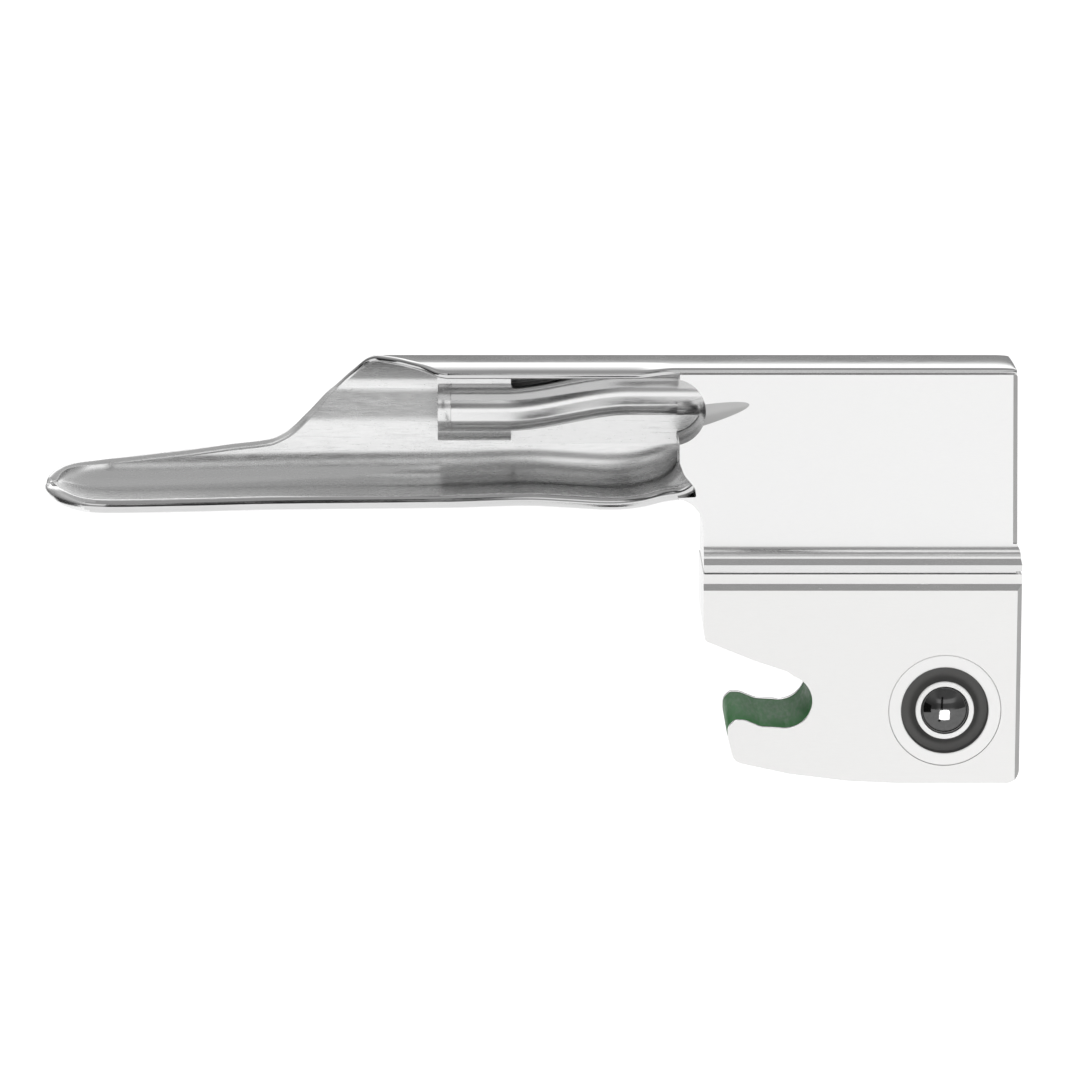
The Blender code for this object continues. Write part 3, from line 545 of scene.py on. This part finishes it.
# The block closes the far half of the trough's end.
cut(upper, prism("end_web", [(-8.66, 17.30), (-8.66, 19.90), (-7.00, 19.90), (-7.00, 16.84), (-8.20, 16.84)],
                 2.0, BLOCK_HALF_Y - 0.05), "UNION")
cut(upper, cylinder("mill", (-9.29, -7.0, 23.77), (-9.29, 3.3, 23.77), 2.73, 128))
EDGE_Y, EDGE_Z = WEB_Y - R_TOP, CROWN_Z - R_TOP
EDGE_R = BLOCK_TOP_Z - EDGE_Z
loop = [(EDGE_Y + EDGE_R * math.sin(math.radians(a)), EDGE_Z + EDGE_R * math.cos(math.radians(a)))
        for a in range(0, 91, 6)]
loop += [(EDGE_Y + EDGE_R, EDGE_Z - 0.06), (7.0, EDGE_Z - 0.06), (7.0, 29.0), (EDGE_Y, 29.0)]
cut(upper, bar("far_edge", loop, -20.0, 30.0))
cut(upper, cylinder("runout", (-9.4, -6.02, 22.95), (-1.2, -6.71, 24.85), 1.30, 128))


def guide_path(start_x, end_z, step=24):
    pts = [(start_x, 0.0, GUIDE_Z0), (-23.0, 0.0, GUIDE_Z0)]
    for i in range(1, 25):
        x = -23.0 + 10.4 * i / 24
        pts.append((x, 0.0, blend(x, [(-23.0, GUIDE_Z0), (-12.6, GUIDE_Z1)])))
    x_arc = GUIDE_DOWN_X - GUIDE_BEND_R
    zc = GUIDE_Z1 - GUIDE_BEND_R
    for i in range(step + 1):
        a = math.pi / 2 * (1 - i / step)
        pts.append((x_arc + GUIDE_BEND_R * math.cos(a), 0.0, zc + GUIDE_BEND_R * math.sin(a)))
    pts.append((GUIDE_DOWN_X, 0.0, end_z))
    return pts


cut(upper, sweep("guide_bore", guide_path(-26.0, 5.0), GUIDE_R + GUIDE_CLEAR, 14))


def corner(name, half_y, side, x_at, z0, z1, c):
    """A three-sided cutter that chamfers an upright right-hand edge."""
    bm = bmesh.new()
    ends = []
    for z in (z0, z1):
        x = x_at(z)
        ends.append([bm.verts.new((u * MM, side * v * MM, z * MM)) for u, v in
                     ((x - c - 0.3, half_y + 0.3), (x + 0.3, half_y - c - 0.3), (x + 0.3, half_y + 0.3))])
    for k in range(3):
        j = (k + 1) % 3
        bm.faces.new((ends[0][k], ends[0][j], ends[1][j], ends[1][k]))
    bm.faces.new(ends[0][::-1])
    bm.faces.new(ends[1])
    return link(name, bm)


for side in (-1, 1):
    cut(upper, corner("chamfer", BLOCK_HALF_Y, side, lambda z: BLOCK_RIGHT_X + 0.22 * (BLOCK_TOP_Z - z) / 15.84,
                      12.95, 28.0, 0.38))
bevel(upper, 0.12, 3, 30.0)
keep_flats(smooth(upper, 28))

# ---- heel block -----------------------------------------------------------------------
seat = [(SEAT_R * math.cos(math.radians(a)), SEAT_R * math.sin(math.radians(a))) for a in range(-100, 71, 5)]
LIP = [(-4.66, -3.00, 0.6), (-4.66, -2.10, 0.8), (-4.05, -1.56, 0.45), (-3.25, -1.58, 1.2), (-1.95, -2.12, 1.4)]
lip_path = filleted([
    (HEEL_RIGHT_X, HEEL_TOP_Z, 0),
    (HEEL_RIGHT_X, HEEL_BASE_Z, 1.1),
    (9.2, HEEL_BASE_Z, 0),
    (5.2, -6.60, 8.0),
    (0.4, -6.02, 3.0),
    (-4.15, -5.02, 1.0)] + LIP + [(seat[0][0], seat[0][1], 0)])
outline = [tuple(p) for p in lip_path[:-1]] + seat
tail = filleted([(seat[-1][0], seat[-1][1], 0), (0.15, 2.53, 0.35), (-2.70, 3.49, 1.0),
                 (-6.55, 5.06, 0.4), (HEEL_LEFT_X, 6.2, 0.0), (HEEL_LEFT_X, HEEL_TOP_Z, 0)])
outline += [tuple(p) for p in tail[1:]]
heel = prism("heel_block_satin", outline, -HEEL_HALF_Y, HEEL_HALF_Y)
for side in (-1, 1):
    cut(heel, bar("shoulder", [(side * 5.86, HEEL_TOP_Z + 0.4), (side * 5.86, 9.74),
                               (side * (HEEL_HALF_Y + 0.02), 9.22), (side * (HEEL_HALF_Y + 1.5), 9.22),
                               (side * (HEEL_HALF_Y + 1.5), HEEL_TOP_Z + 0.4)], -30.0, 40.0))


def seat_band(slack, lead):
    run = [Vector(p) for p in filleted([(LIP[0][0], LIP[0][1], 0)] + LIP[1:] + [(seat[0][0], seat[0][1], 0)], 7.5)]
    run += [Vector((SEAT_R * math.cos(math.radians(a)), SEAT_R * math.sin(math.radians(a))))
            for a in range(-95, 31, 5)]
    front = []
    for i, p in enumerate(run):
        d = (run[min(len(run) - 1, i + 1)] - run[max(0, i - 1)]).normalized()
        front.append(p - Vector((d.y, -d.x)) * lead)
    r = SEAT_R + INSERT_T + slack
    back = [Vector(p) for p in filleted([
        (-3.92 + slack, -3.0 - slack, 0), (-3.90 + slack, -2.36 - slack, 0.3), (-3.20, -2.32 - slack, 0.8),
        (-2.00, -2.84 - slack, 1.2), (r * math.cos(math.radians(-100)), r * math.sin(math.radians(-100)), 0)],
        12.0)]
    back += [Vector((r * math.cos(math.radians(a)), r * math.sin(math.radians(a)))) for a in range(-90, 31, 5)]
    if slack:
        front[0].y -= slack
        tip = Vector((math.cos(math.radians(30)), math.sin(math.radians(30))))
        side = Vector((-tip.y, tip.x)) * slack
        front[-1] += side
        back[-1] += side
    return front + back[::-1]


cut(heel, prism("insert_groove", seat_band(CHEEK_GAP, 0.6), -(INSERT_HALF_Y + CHEEK_GAP), INSERT_HALF_Y + CHEEK_GAP))
PIN_AT = (-2.65, -3.35)
cut(heel, cylinder("pin_hole", (PIN_AT[0], -4.6, PIN_AT[1]), (PIN_AT[0], 9.0, PIN_AT[1]), 0.62, 40))
cut(heel, cylinder("ferrule_pocket", (GUIDE_DOWN_X, 0, -9.0), (GUIDE_DOWN_X, 0, -3.38), 2.78, 64))
cut(heel, cylinder("sleeve_bore", (DETENT_X, -8, DETENT_Z), (DETENT_X, 8, DETENT_Z), SLEEVE_R + 0.02, 64))
for side in (-1, 1):
    cut(heel, cylinder("bush_pocket", (DETENT_X, side * (HEEL_HALF_Y - BUSH_DEPTH - 0.03), DETENT_Z),
                       (DETENT_X, side * 9.0, DETENT_Z), BUSH_R + 0.02, 128))
cut(heel, cylinder("guide_leg", (GUIDE_DOWN_X, 0, -9.0), (GUIDE_DOWN_X, 0, 12.0), GUIDE_R + GUIDE_CLEAR, 64))
for side in (-1, 1):
    cut(heel, corner("chamfer", HEEL_HALF_Y, side, lambda z: HEEL_RIGHT_X, -9.0, 12.0, 0.38))
bevel(heel, 0.10, 3, 30.0)
keep_flats(smooth(heel, 28))

# ---- insert ----------------------------------------------------------------------------
insert = prism("green_insert_moulded", seat_band(0.0, -0.04), -INSERT_HALF_Y, INSERT_HALF_Y)
bevel(insert, 0.10, 2, 40.0)
smooth(insert, 30)

# ---- light guide -------------------------------------------------------------------------
tube = sweep("light_guide_tube_polished", guide_path(GUIDE_X0, INLET_Z), GUIDE_R, 22)
cut(tube, sweep("tube_core", guide_path(GUIDE_X0 - 1.0, INLET_Z - 1.0), GUIDE_BORE_R, 14))
ring = cylinder("ring_out", (GUIDE_X0 - 1, 0, GUIDE_Z0), (GUIDE_X0 + 1.0, 0, GUIDE_Z0), 3.0, 96)
cut(ring, cylinder("ring_in", (GUIDE_X0 - 2, 0, GUIDE_Z0), (GUIDE_X0 + 2.0, 0, GUIDE_Z0), 1.83, 96))
cut(tube, ring)
smooth(tube, 40)
ferrule = cylinder("exit_ferrule_polished", (GUIDE_X0 - 0.12, 0, GUIDE_Z0), (GUIDE_X0 + 0.98, 0, GUIDE_Z0), 2.0, 96)
cut(ferrule, cylinder("fer_in", (GUIDE_X0 - 2, 0, GUIDE_Z0), (GUIDE_X0 + 2, 0, GUIDE_Z0), 1.85, 96))
bevel(ferrule, 0.05, 2, 40.0)
smooth(ferrule, 40)
inner = R_TOP - FLANGE_T / 2 - 0.09
web_face = WEB_Y - SHEET_T / 2 + 0.02
loop = [(-0.35 + 1.5 * (1 - math.cos(math.radians(a))), 22.02 - 1.5 * math.sin(math.radians(a))) for a in range(0, 91, 9)]
loop += [(web_face, 20.52)]
loop += [(EDGE_Y + inner * math.cos(math.radians(a)), EDGE_Z + inner * math.sin(math.radians(a)))
         for a in range(25, 91, 5)]
loop += [(-0.35, EDGE_Z + inner)]
cradle = bar("light_guide_cradle_polished", loop, -28.45, -22.42)
# Flat brazed seat behind the tube, back to the block.
plate = prism("seat_plate", filleted([(-22.60, 23.60, 0), (-22.60, 20.80, 0), (-22.20, 20.16, 0.2),
                                      (-8.76, 20.16, 0), (-8.76, 23.60, 0)]), 1.75, web_face)
cut(cradle, plate, "UNION")
run_in = [(-10.4, 23.57), (-10.4, 21.30)] + [(-9.29 + 2.68 * math.cos(math.radians(a)), 23.77 + 2.68 * math.sin(math.radians(a)))
                                             for a in range(-84, -3, 6)]
cut(cradle, prism("plate_end", run_in, 1.78, 3.26), "UNION")
cut(cradle, cylinder("cradle_bore", (-30, 0, GUIDE_Z0), (-20, 0, GUIDE_Z0), GUIDE_R + 0.01, 96))
bevel(cradle, 0.16, 3, 40.0)
keep_flats(smooth(cradle, 32))

# ---- detent ---------------------------------------------------------------------------------
bush_profile = [(BORE_R, -BUSH_DEPTH), (BORE_R, -0.50), (LIP_R + 0.10, -0.10), (LIP_R + 0.02, -0.03), (LIP_R + 0.05, 0.0)]
for i in range(7):
    a = math.radians(15 * i)
    bush_profile.append((COLLAR_R - 0.12 + 0.12 * math.sin(a), -0.12 + 0.12 * math.cos(a)))
bush_profile += [(2.58, -0.42), (2.70, -0.62), (2.86, -0.74), (3.05, -0.78), (3.38, -0.78), (3.50, -0.74),
                 (RECESS_R, -0.62), (RECESS_R, -0.06), (RECESS_R + 0.06, 0.0), (BUSH_R - 0.07, 0.0),
                 (BUSH_R, -0.07), (BUSH_R, -BUSH_DEPTH)]
made = {}
for name, side in (("near", -1), ("far", 1)):
    made["bush", name] = smooth(turned(f"detent_bushing_{name}_satin", bush_profile,
                                       (DETENT_X, side * HEEL_HALF_Y, DETENT_Z), side, 128), 30)
    # The ball carries a small worn flat where it meets the handle.
    prof = []
    for i in range(0, 61):
        a = math.pi * i / 60
        h = min(BALL_R * math.cos(a), BALL_R - 0.012)
        prof.append((max(0.0, BALL_R * math.sin(a)), h))
    bm = bmesh.new()
    seg = 96
    rings = []
    for r, h in prof:
        if r < 1e-6:
            rings.append([bm.verts.new((0, side * h * MM, 0))])
        else:
            rings.append([bm.verts.new((r * math.cos(2 * math.pi * k / seg) * MM, side * h * MM,
                                        r * math.sin(2 * math.pi * k / seg) * MM)) for k in range(seg)])
    for a, b in zip(rings, rings[1:]):
        for k in range(seg):
            j = (k + 1) % seg
            if len(a) == 1:
                bm.faces.new((a[0], b[k], b[j]))
            elif len(b) == 1:
                bm.faces.new((a[k], a[j], b[0]))
            else:
                bm.faces.new((a[k], a[j], b[j], b[k]))
    ball = link(f"detent_ball_{name}_worn", bm)
    ball.location = (DETENT_X * MM, side * BALL_Y * MM, DETENT_Z * MM)
    made["ball", name] = smooth(ball, 50)


# ---- materials ------------------------------------------------------------------------------
class Mat:
    def __init__(self, name, rough, metallic, spec=0.5):
        self.mat = bpy.data.materials.new(name)
        self.mat.use_nodes = True
        self.nt = self.mat.node_tree
        self.bsdf = self.nt.nodes["Principled BSDF"]
        self.bsdf.inputs["Metallic"].default_value = metallic
        self.bsdf.inputs["Roughness"].default_value = rough
        self.bsdf.inputs["Specular IOR Level"].default_value = spec
        self.tc = self.nt.nodes.new("ShaderNodeTexCoord")

    def node(self, kind, **kw):
        n = self.nt.nodes.new(kind)
        for k, v in kw.items():
            setattr(n, k, v)
        return n

    def to(self, a, b):
        self.nt.links.new(a, b)

    def coords(self, scale=(1, 1, 1)):
        m = self.node("ShaderNodeMapping")
        m.inputs["Scale"].default_value = scale
        self.to(self.tc.outputs["Object"], m.inputs["Vector"])
        return m.outputs["Vector"]

    def noise(self, scale, detail=3.0, rough=0.55, stretch=(1, 1, 1), distort=0.0):
        n = self.node("ShaderNodeTexNoise")
        n.inputs["Scale"].default_value = scale
        n.inputs["Detail"].default_value = detail
        n.inputs["Roughness"].default_value = rough
        n.inputs["Distortion"].default_value = distort
        self.to(self.coords(stretch), n.inputs["Vector"])
        return n.outputs["Fac"]

    def ramp(self, fac, lo, hi, a, b):
        r = self.node("ShaderNodeMapRange")
        r.inputs["From Min"].default_value = lo
        r.inputs["From Max"].default_value = hi
        r.inputs["To Min"].default_value = a
        r.inputs["To Max"].default_value = b
        self.to(fac, r.inputs["Value"])
        return r.outputs["Result"]

    def math(self, op, a, b):
        m = self.node("ShaderNodeMath", operation=op)
        for i, v in enumerate((a, b)):
            if isinstance(v, (int, float)):
                m.inputs[i].default_value = v
            else:
                self.to(v, m.inputs[i])
        return m.outputs[0]

    def colours(self, fac, stops):
        c = self.node("ShaderNodeValToRGB")
        el = c.color_ramp.elements
        while len(el) < len(stops):
            el.new(0.5)
        for e, (pos, rgb) in zip(el, stops):
            e.position = pos
            e.color = (*rgb, 1.0)
        self.to(fac, c.inputs["Fac"])
        self.to(c.outputs["Color"], self.bsdf.inputs["Base Color"])
        return c

    def bump(self, height, strength, distance):
        b = self.node("ShaderNodeBump")
        b.inputs["Strength"].default_value = strength
        b.inputs["Distance"].default_value = distance
        self.to(height, b.inputs["Height"])
        self.to(b.outputs["Normal"], self.bsdf.inputs["Normal"])


def steel(name, shade, rough, grain, bump=0.05, along=(1, 12, 12), warm=0.0, metallic=1.0, smudge=1.0):
    """Stainless steel: fine grain along one direction, faint smudges, uneven gloss."""
    m = Mat(name, rough, metallic)
    cloud = m.noise(140.0, 4.0, 0.6)
    fine = m.noise(grain, 2.0, 0.6, along)
    tone = m.math("ADD", m.math("MULTIPLY", cloud, 0.6), m.math("MULTIPLY", fine, 0.4))
    d = 0.035 * smudge
    m.colours(tone, [(0.30, (shade - d, shade - d - warm * 0.3, shade - d - warm)),
                     (0.52, (shade, shade - warm * 0.3, shade - warm)),
                     (0.72, (min(1, shade + d * 0.6), shade + d * 0.6 - warm * 0.3, shade + d * 0.6 - warm))])
    scratch = m.noise(grain * 0.55, 1.0, 0.4, (along[0] * 0.4, along[1] * 1.6, along[2] * 1.3), 0.2)
    r = m.math("ADD", m.ramp(fine, 0.30, 0.70, rough * 0.82, rough * 1.12),
               m.ramp(cloud, 0.35, 0.75, -rough * 0.10, rough * 0.35 * smudge))
    m.to(m.math("ADD", r, m.ramp(scratch, 0.64, 0.76, 0.0, 0.06)), m.bsdf.inputs["Roughness"])
    m.bump(m.math("ADD", m.math("MULTIPLY", fine, 0.6), m.math("MULTIPLY", scratch, 0.5)), bump, 0.00004)
    return m.mat


# A glossier copy of the channel steel for the flange and near rim; its darker colour is painted shade.
M_FLANGE_SHADE = steel("polished_flange_painted_shade", 0.64, 0.10, 900.0, 0.03, (1, 10, 10))
M_CHANNEL = steel("mirror_polished_steel", 0.82, 0.26, 900.0, 0.012, (1, 10, 10), 0.0, 1.0, 0.3)
M_TUBE = steel("mirror_polished_tube", 0.78, 0.17, 1000.0, 0.012, (1, 10, 10), 0.0, 1.0, 0.4)
M_CRADLE = steel("polished_cradle_steel", 0.76, 0.26, 1000.0, 0.015, (1, 8, 8), 0.0, 1.0, 0.4)
M_UPPER = steel("satin_block_steel", 0.90, 0.45, 1500.0, 0.10, (1, 7, 7), 0.004, 0.35, 0.6)
M_HEEL = steel("satin_heel_steel", 0.87, 0.45, 1500.0, 0.10, (1, 7, 7), 0.012, 0.35, 0.6)
M_EDGE = steel("bright_edge_steel", 0.72, 0.20, 1500.0, 0.05, (1, 7, 7), 0.004)
M_BUSH = steel("satin_bushing_steel", 0.87, 0.40, 1600.0, 0.08, (6, 6, 6), 0.010, 0.40, 0.6)
# The detent balls get a near-black steel colour: painted shade in their reflections.
M_BALL_SHADE = steel("painted_shade_ball_steel", 0.11, 0.08, 1200.0, 0.03, (3, 3, 3), 0.0)
# Dark steel colour for the bushing recesses: painted shade in the hollow.
M_RECESS_SHADE = steel("painted_shade_recess_steel", 0.13, 0.55, 1600.0, 0.10, (5, 5, 5), 0.004, 0.6)
# Darker satin steel for the run-out groove on the block face: painted shade in the groove.
M_RUNOUT_SHADE = steel("painted_shade_runout_steel", 0.50, 0.42, 1500.0, 0.08, (1, 7, 7), 0.004, 0.5, 0.6)
# Darker steel for the right-hand corner chamfers: painted shade on these faces.
M_CORNER_SHADE = steel("painted_shade_corner_steel", 0.40, 0.35, 1500.0, 0.06, (7, 7, 1), 0.004)
M_PIN = steel("ground_pin_steel", 0.70, 0.22, 1400.0, 0.06, (10, 1, 10))
M_SPRING = steel("spring_wire_steel", 0.58, 0.28, 1400.0, 0.06, (4, 4, 4), 0.01)


def moulded_green():
    m = Mat("moulded_green_plastic", 0.45, 0.0, 0.12)
    cloud = m.noise(220.0, 4.0, 0.6)
    flow = m.noise(700.0, 2.0, 0.5, (6, 1, 6))
    m.colours(m.math("ADD", m.math("MULTIPLY", cloud, 0.5), m.math("MULTIPLY", flow, 0.5)),
              [(0.32, (0.012, 0.120, 0.024)), (0.50, (0.022, 0.155, 0.034)), (0.70, (0.036, 0.190, 0.048))])
    m.to(m.ramp(flow, 0.30, 0.70, 0.40, 0.56), m.bsdf.inputs["Roughness"])
    grain = m.noise(3200.0, 2.0, 0.5)
    m.bump(m.math("ADD", m.math("MULTIPLY", grain, 0.5), flow), 0.12, 0.00003)
    m.bsdf.inputs["Coat Weight"].default_value = 0.02
    m.bsdf.inputs["Coat Roughness"].default_value = 0.20
    return m.mat


def fibre_face():
    m = Mat("glass_fibre_bundle", 0.25, 0.0, 0.6)
    v = m.node("ShaderNodeTexVoronoi")
    v.inputs["Scale"].default_value = 9000.0
    m.to(m.tc.outputs["Object"], v.inputs["Vector"])
    m.colours(v.outputs["Distance"], [(0.10, (0.90, 0.93, 0.88)), (0.45, (0.70, 0.75, 0.70)), (0.75, (0.30, 0.33, 0.31))])
    m.bump(v.outputs["Distance"], 0.15, 0.00002)
    m.to(m.ramp(v.outputs["Distance"], 0.1, 0.7, 0.12, 0.45), m.bsdf.inputs["Roughness"])
    return m.mat


def window_glass():
    m = Mat("polished_window_glass", 0.06, 0.0, 0.6)
    cloud = m.noise(400.0, 3.0, 0.6)
    m.colours(cloud, [(0.35, (0.86, 0.91, 0.90)), (0.65, (0.94, 0.96, 0.95))])
    m.to(m.ramp(cloud, 0.3, 0.7, 0.04, 0.10), m.bsdf.inputs["Roughness"])
    m.bsdf.inputs["Transmission Weight"].default_value = 0.75
    m.bsdf.inputs["IOR"].default_value = 1.5
    return m.mat


M_GREEN, M_FIBRE, M_GLASS = moulded_green(), fibre_face(), window_glass()


def wear(ob, mat, body, slot, *nodes, edges=None):
    ob.data.materials.clear()
    ob.data.materials.append(mat)
    for poly in ob.data.polygons:
        poly.material_index = 0
    if edges:
        # The broad side faces are satin; edges, shoulders and chamfers are left bright.
        ob.data.materials.append(edges)
        for poly in ob.data.polygons:
            c = poly.center / MM
            shoulder = PLATE_BOTTOM_Z - 1.4 < c.z < 13.2 and abs(c.y) > 5.2
            if abs(poly.normal.y) < 0.995 or (shoulder and c.z > PLATE_BOTTOM_Z - 0.02 and c.z < 12.6):
                poly.material_index = 1
        # Faces of the run-out groove get a darker steel colour: painted shade in the groove.
        ob.data.materials.append(M_RUNOUT_SHADE)
        # The right-hand corner chamfers get a darker steel colour: painted shade.
        ob.data.materials.append(M_CORNER_SHADE)
        a, b = Vector((-9.4, -6.02, 22.95)), Vector((-1.2, -6.71, 24.85))
        for poly in ob.data.polygons:
            c = poly.center / MM
            if abs((c - a).cross((b - a).normalized()).length - 1.30) < 0.07 and c.y < -4.6:
                poly.material_index = 2
            elif poly.normal.x > 0.45 and abs(poly.normal.y) > 0.30 and c.x > 18.0:
                poly.material_index = 3
    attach(ob, body)
    if nodes:
        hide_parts(*nodes)


wear(channel, M_CHANNEL, "blade", "polished_steel", "blade_channel")
channel.data.materials.append(M_FLANGE_SHADE)
for poly in channel.data.polygons:
    c = poly.center / MM
    if c.z > CROWN_Z - 0.9 or (c.y < NEAR_Y + 0.25 and c.z < 20.0):
        poly.material_index = 1      # the flange and the near rim are buffed glossier, and their darker steel colour is painted shade in their reflections
wear(upper, M_UPPER, "blade", "satin_steel", "upper_block", edges=M_EDGE)
wear(heel, M_HEEL, "blade", "satin_steel", "heel_block", edges=M_EDGE)
wear(insert, M_GREEN, "blade", "green_plastic", "green_insert")
wear(tube, M_TUBE, "blade", "polished_steel", "light_guide_tube")
wear(ferrule, M_CRADLE, "blade", "polished_steel", "exit_ferrule")
wear(cradle, M_CRADLE, "blade", "polished_steel", "light_guide_cradle")
for name in ("near", "far"):
    bush = made["bush", name]
    wear(bush, M_BUSH, "blade", "satin_steel", f"detent_bushing_{name}")
    # The floor and walls of the recess get a dark steel colour: painted shade in the recess.
    bush.data.materials.append(M_RECESS_SHADE)
    for poly in bush.data.polygons:
        c = poly.center / MM
        r = math.hypot(c.x - DETENT_X, c.z - DETENT_Z)
        if 2.42 < r < RECESS_R + 0.02 and abs(c.y) < HEEL_HALF_Y - 0.05:
            poly.material_index = 1
    wear(made["ball", name], M_BALL_SHADE, f"ball_{name}", "ball_steel", f"detent_ball_{name}")
for node, mat in (("insert_pin", M_PIN), ("detent_sleeve", M_PIN), ("dowel_front", M_PIN), ("dowel_rear", M_PIN),
                  ("detent_spring", M_SPRING), ("inlet_ferrule", M_CRADLE), ("fibre_bundle", M_FIBRE),
                  ("light_exit_window", M_GLASS), ("light_inlet_window", M_GLASS)):
    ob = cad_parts[node]
    for s in ob.material_slots:
        s.link = "OBJECT"
        s.material = mat
    if not ob.material_slots:
        ob.data.materials.append(mat)

# ---- stage ---------------------------------------------------------------------------------
cam_d = bpy.data.cameras.new("camera")
cam = bpy.data.objects.new("camera", cam_d)
scene.collection.objects.link(cam)
scene.camera = cam
TILT, DIST = math.radians(9.8), 0.400
look = Vector((-20.03, -6.25, 13.44)) * MM
cam.location = look + Vector((0, -math.cos(TILT), math.sin(TILT))) * DIST
cam.rotation_euler = (math.pi / 2 - TILT, 0, 0)
cam_d.sensor_width = 36.0
cam_d.lens = 36.0 * (12.3 * 1000 / 1080) * DIST
cam_d.clip_start, cam_d.clip_end = 0.01, 30

bm = bmesh.new()
bmesh.ops.create_grid(bm, x_segments=2, y_segments=2, size=6.0)
bmesh.ops.translate(bm, vec=(0, 0, -0.060), verts=bm.verts)
me = bpy.data.meshes.new("floor")
bm.to_mesh(me)
bm.free()
floor = bpy.data.objects.new("floor", me)
scene.collection.objects.link(floor)
fm = bpy.data.materials.new("pale_floor")
fm.use_nodes = True
nt = fm.node_tree
bs = nt.nodes["Principled BSDF"]
bs.inputs["Base Color"].default_value = (0.2, 0.2, 0.2, 1)
bs.inputs["Roughness"].default_value = 0.9
bs.inputs["Emission Color"].default_value = (1, 1, 1, 1)
bs.inputs["Emission Strength"].default_value = 0.96
floor.data.materials.append(fm)

world = bpy.data.worlds.new("studio")
scene.world = world
world.use_nodes = True
wt = world.node_tree
bg = wt.nodes["Background"]
wc = wt.nodes.new("ShaderNodeTexCoord")
sep = wt.nodes.new("ShaderNodeSeparateXYZ")
wt.links.new(wc.outputs["Generated"], sep.inputs[0])


def w_range(value, lo, hi, a, b, kind="SMOOTHSTEP"):
    n = wt.nodes.new("ShaderNodeMapRange")
    n.interpolation_type = kind
    n.inputs["From Min"].default_value = lo
    n.inputs["From Max"].default_value = hi
    n.inputs["To Min"].default_value = a
    n.inputs["To Max"].default_value = b
    wt.links.new(value, n.inputs["Value"])
    return n.outputs["Result"]


def w_math(op, a, b):
    n = wt.nodes.new("ShaderNodeMath")
    n.operation = op
    for i, v in enumerate((a, b)):
        if isinstance(v, (int, float)):
            n.inputs[i].default_value = v
        else:
            wt.links.new(v, n.inputs[i])
    return n.outputs[0]


def w_mix(fac, a, b):
    """a + (b - a) * fac"""
    return w_math("ADD", w_math("MULTIPLY", fac, w_math("SUBTRACT", b, a)), a)


X, Y, Z = sep.outputs
# Behind the object: a dark low strip, then a bright wall. In front: a bright low area and one soft band. Dim ceiling.
deg = lambda v: math.sin(math.radians(v))
back = w_range(Z, deg(11.5), deg(15.0), 0.30, 1.60)
back = w_math("SUBTRACT", back, w_range(Z, deg(30.0), deg(50.0), 0.0, 1.15))
front = w_range(Z, deg(1.0), deg(7.0), 1.0, 0.42)
front = w_math("ADD", front, w_range(Z, deg(23.0), deg(27.0), 0.0, 0.75))
front = w_math("SUBTRACT", front, w_range(Z, deg(37.0), deg(45.0), 0.0, 0.75))
facing = w_range(Y, -0.15, 0.15, 0.0, 1.0)
level = w_mix(facing, front, back)
side = w_range(w_math("ABSOLUTE", X, 0.0), 0.50, 0.80, 0.0, 1.0)
level = w_mix(side, level, w_range(Z, 0.1, 0.8, 0.25, 0.6))
level = w_mix(w_range(X, -0.60, -0.35, 1.0, 0.0), level, w_range(Z, 0.25, 0.80, 0.22, 0.6))
path = wt.nodes.new("ShaderNodeLightPath")
level = w_mix(path.outputs["Is Camera Ray"], level, w_math("ADD", 1.0, 0.0))
wt.links.new(level, bg.inputs["Strength"])
bg.inputs["Color"].default_value = (1.0, 1.0, 1.0, 1.0)


def soft_light(name, at, aim, size, power, size_y=None):
    d = bpy.data.lights.new(name, "AREA")
    d.shape = "RECTANGLE"
    d.size, d.size_y = size, size_y or size
    d.energy = power
    ob = bpy.data.objects.new(name, d)
    scene.collection.objects.link(ob)
    ob.location = at
    ob.rotation_mode = "QUATERNION"
    ob.rotation_quaternion = (Vector(aim) - Vector(at)).to_track_quat("-Z", "Y")
    return ob


key = soft_light("key", (-0.25, -0.60, 0.40), (-0.02, 0, 0.01), 0.90, 1.5)
fill = soft_light("fill", (0.35, -0.62, 0.25), (0.0, 0, 0.01), 0.80, 0.9)
for lamp in (key, fill):
    lamp.visible_glossy = False

# Dark cards round the object, which only its reflections show: the light tent's opening, a flag on the
# left, and a slot in the table in front.
om = bpy.data.materials.new("dark_card")
om.use_nodes = True
om.node_tree.nodes["Principled BSDF"].inputs["Base Color"].default_value = (0.02, 0.02, 0.02, 1)
om.node_tree.nodes["Principled BSDF"].inputs["Roughness"].default_value = 1.0
for name, corners in (
        ("tent_opening", ((-105, -430, 20), (-35, -430, 20), (-35, -430, 560), (-105, -430, 560))),
        ("left_flag", ((-200, -160, -58), (-200, 40, -58), (-200, 40, 60), (-200, -160, 60))),
        ("table_slot", ((-17, -260, -58), (-5, -260, -58), (-5, -50, -58), (-17, -50, -58)))):
    bm = bmesh.new()
    bm.faces.new([bm.verts.new(Vector(c) * MM) for c in corners])
    me = bpy.data.meshes.new(name)
    bm.to_mesh(me)
    bm.free()
    card = bpy.data.objects.new(name, me)
    scene.collection.objects.link(card)
    card.data.materials.append(om)
    card.visible_camera = False
    card.visible_shadow = False

# A small lamp that only the detent balls take.
spark = soft_light("detent_spark", (0.01308, -0.0604, -0.0232), (0.01308, -0.0048, -0.0007), 0.040, 0.07)
spark.visible_camera = False
taken_by = bpy.data.collections.new("spark_takers")
for name in ("near", "far"):
    taken_by.objects.link(made["ball", name])
spark.light_linking.receiver_collection = taken_by
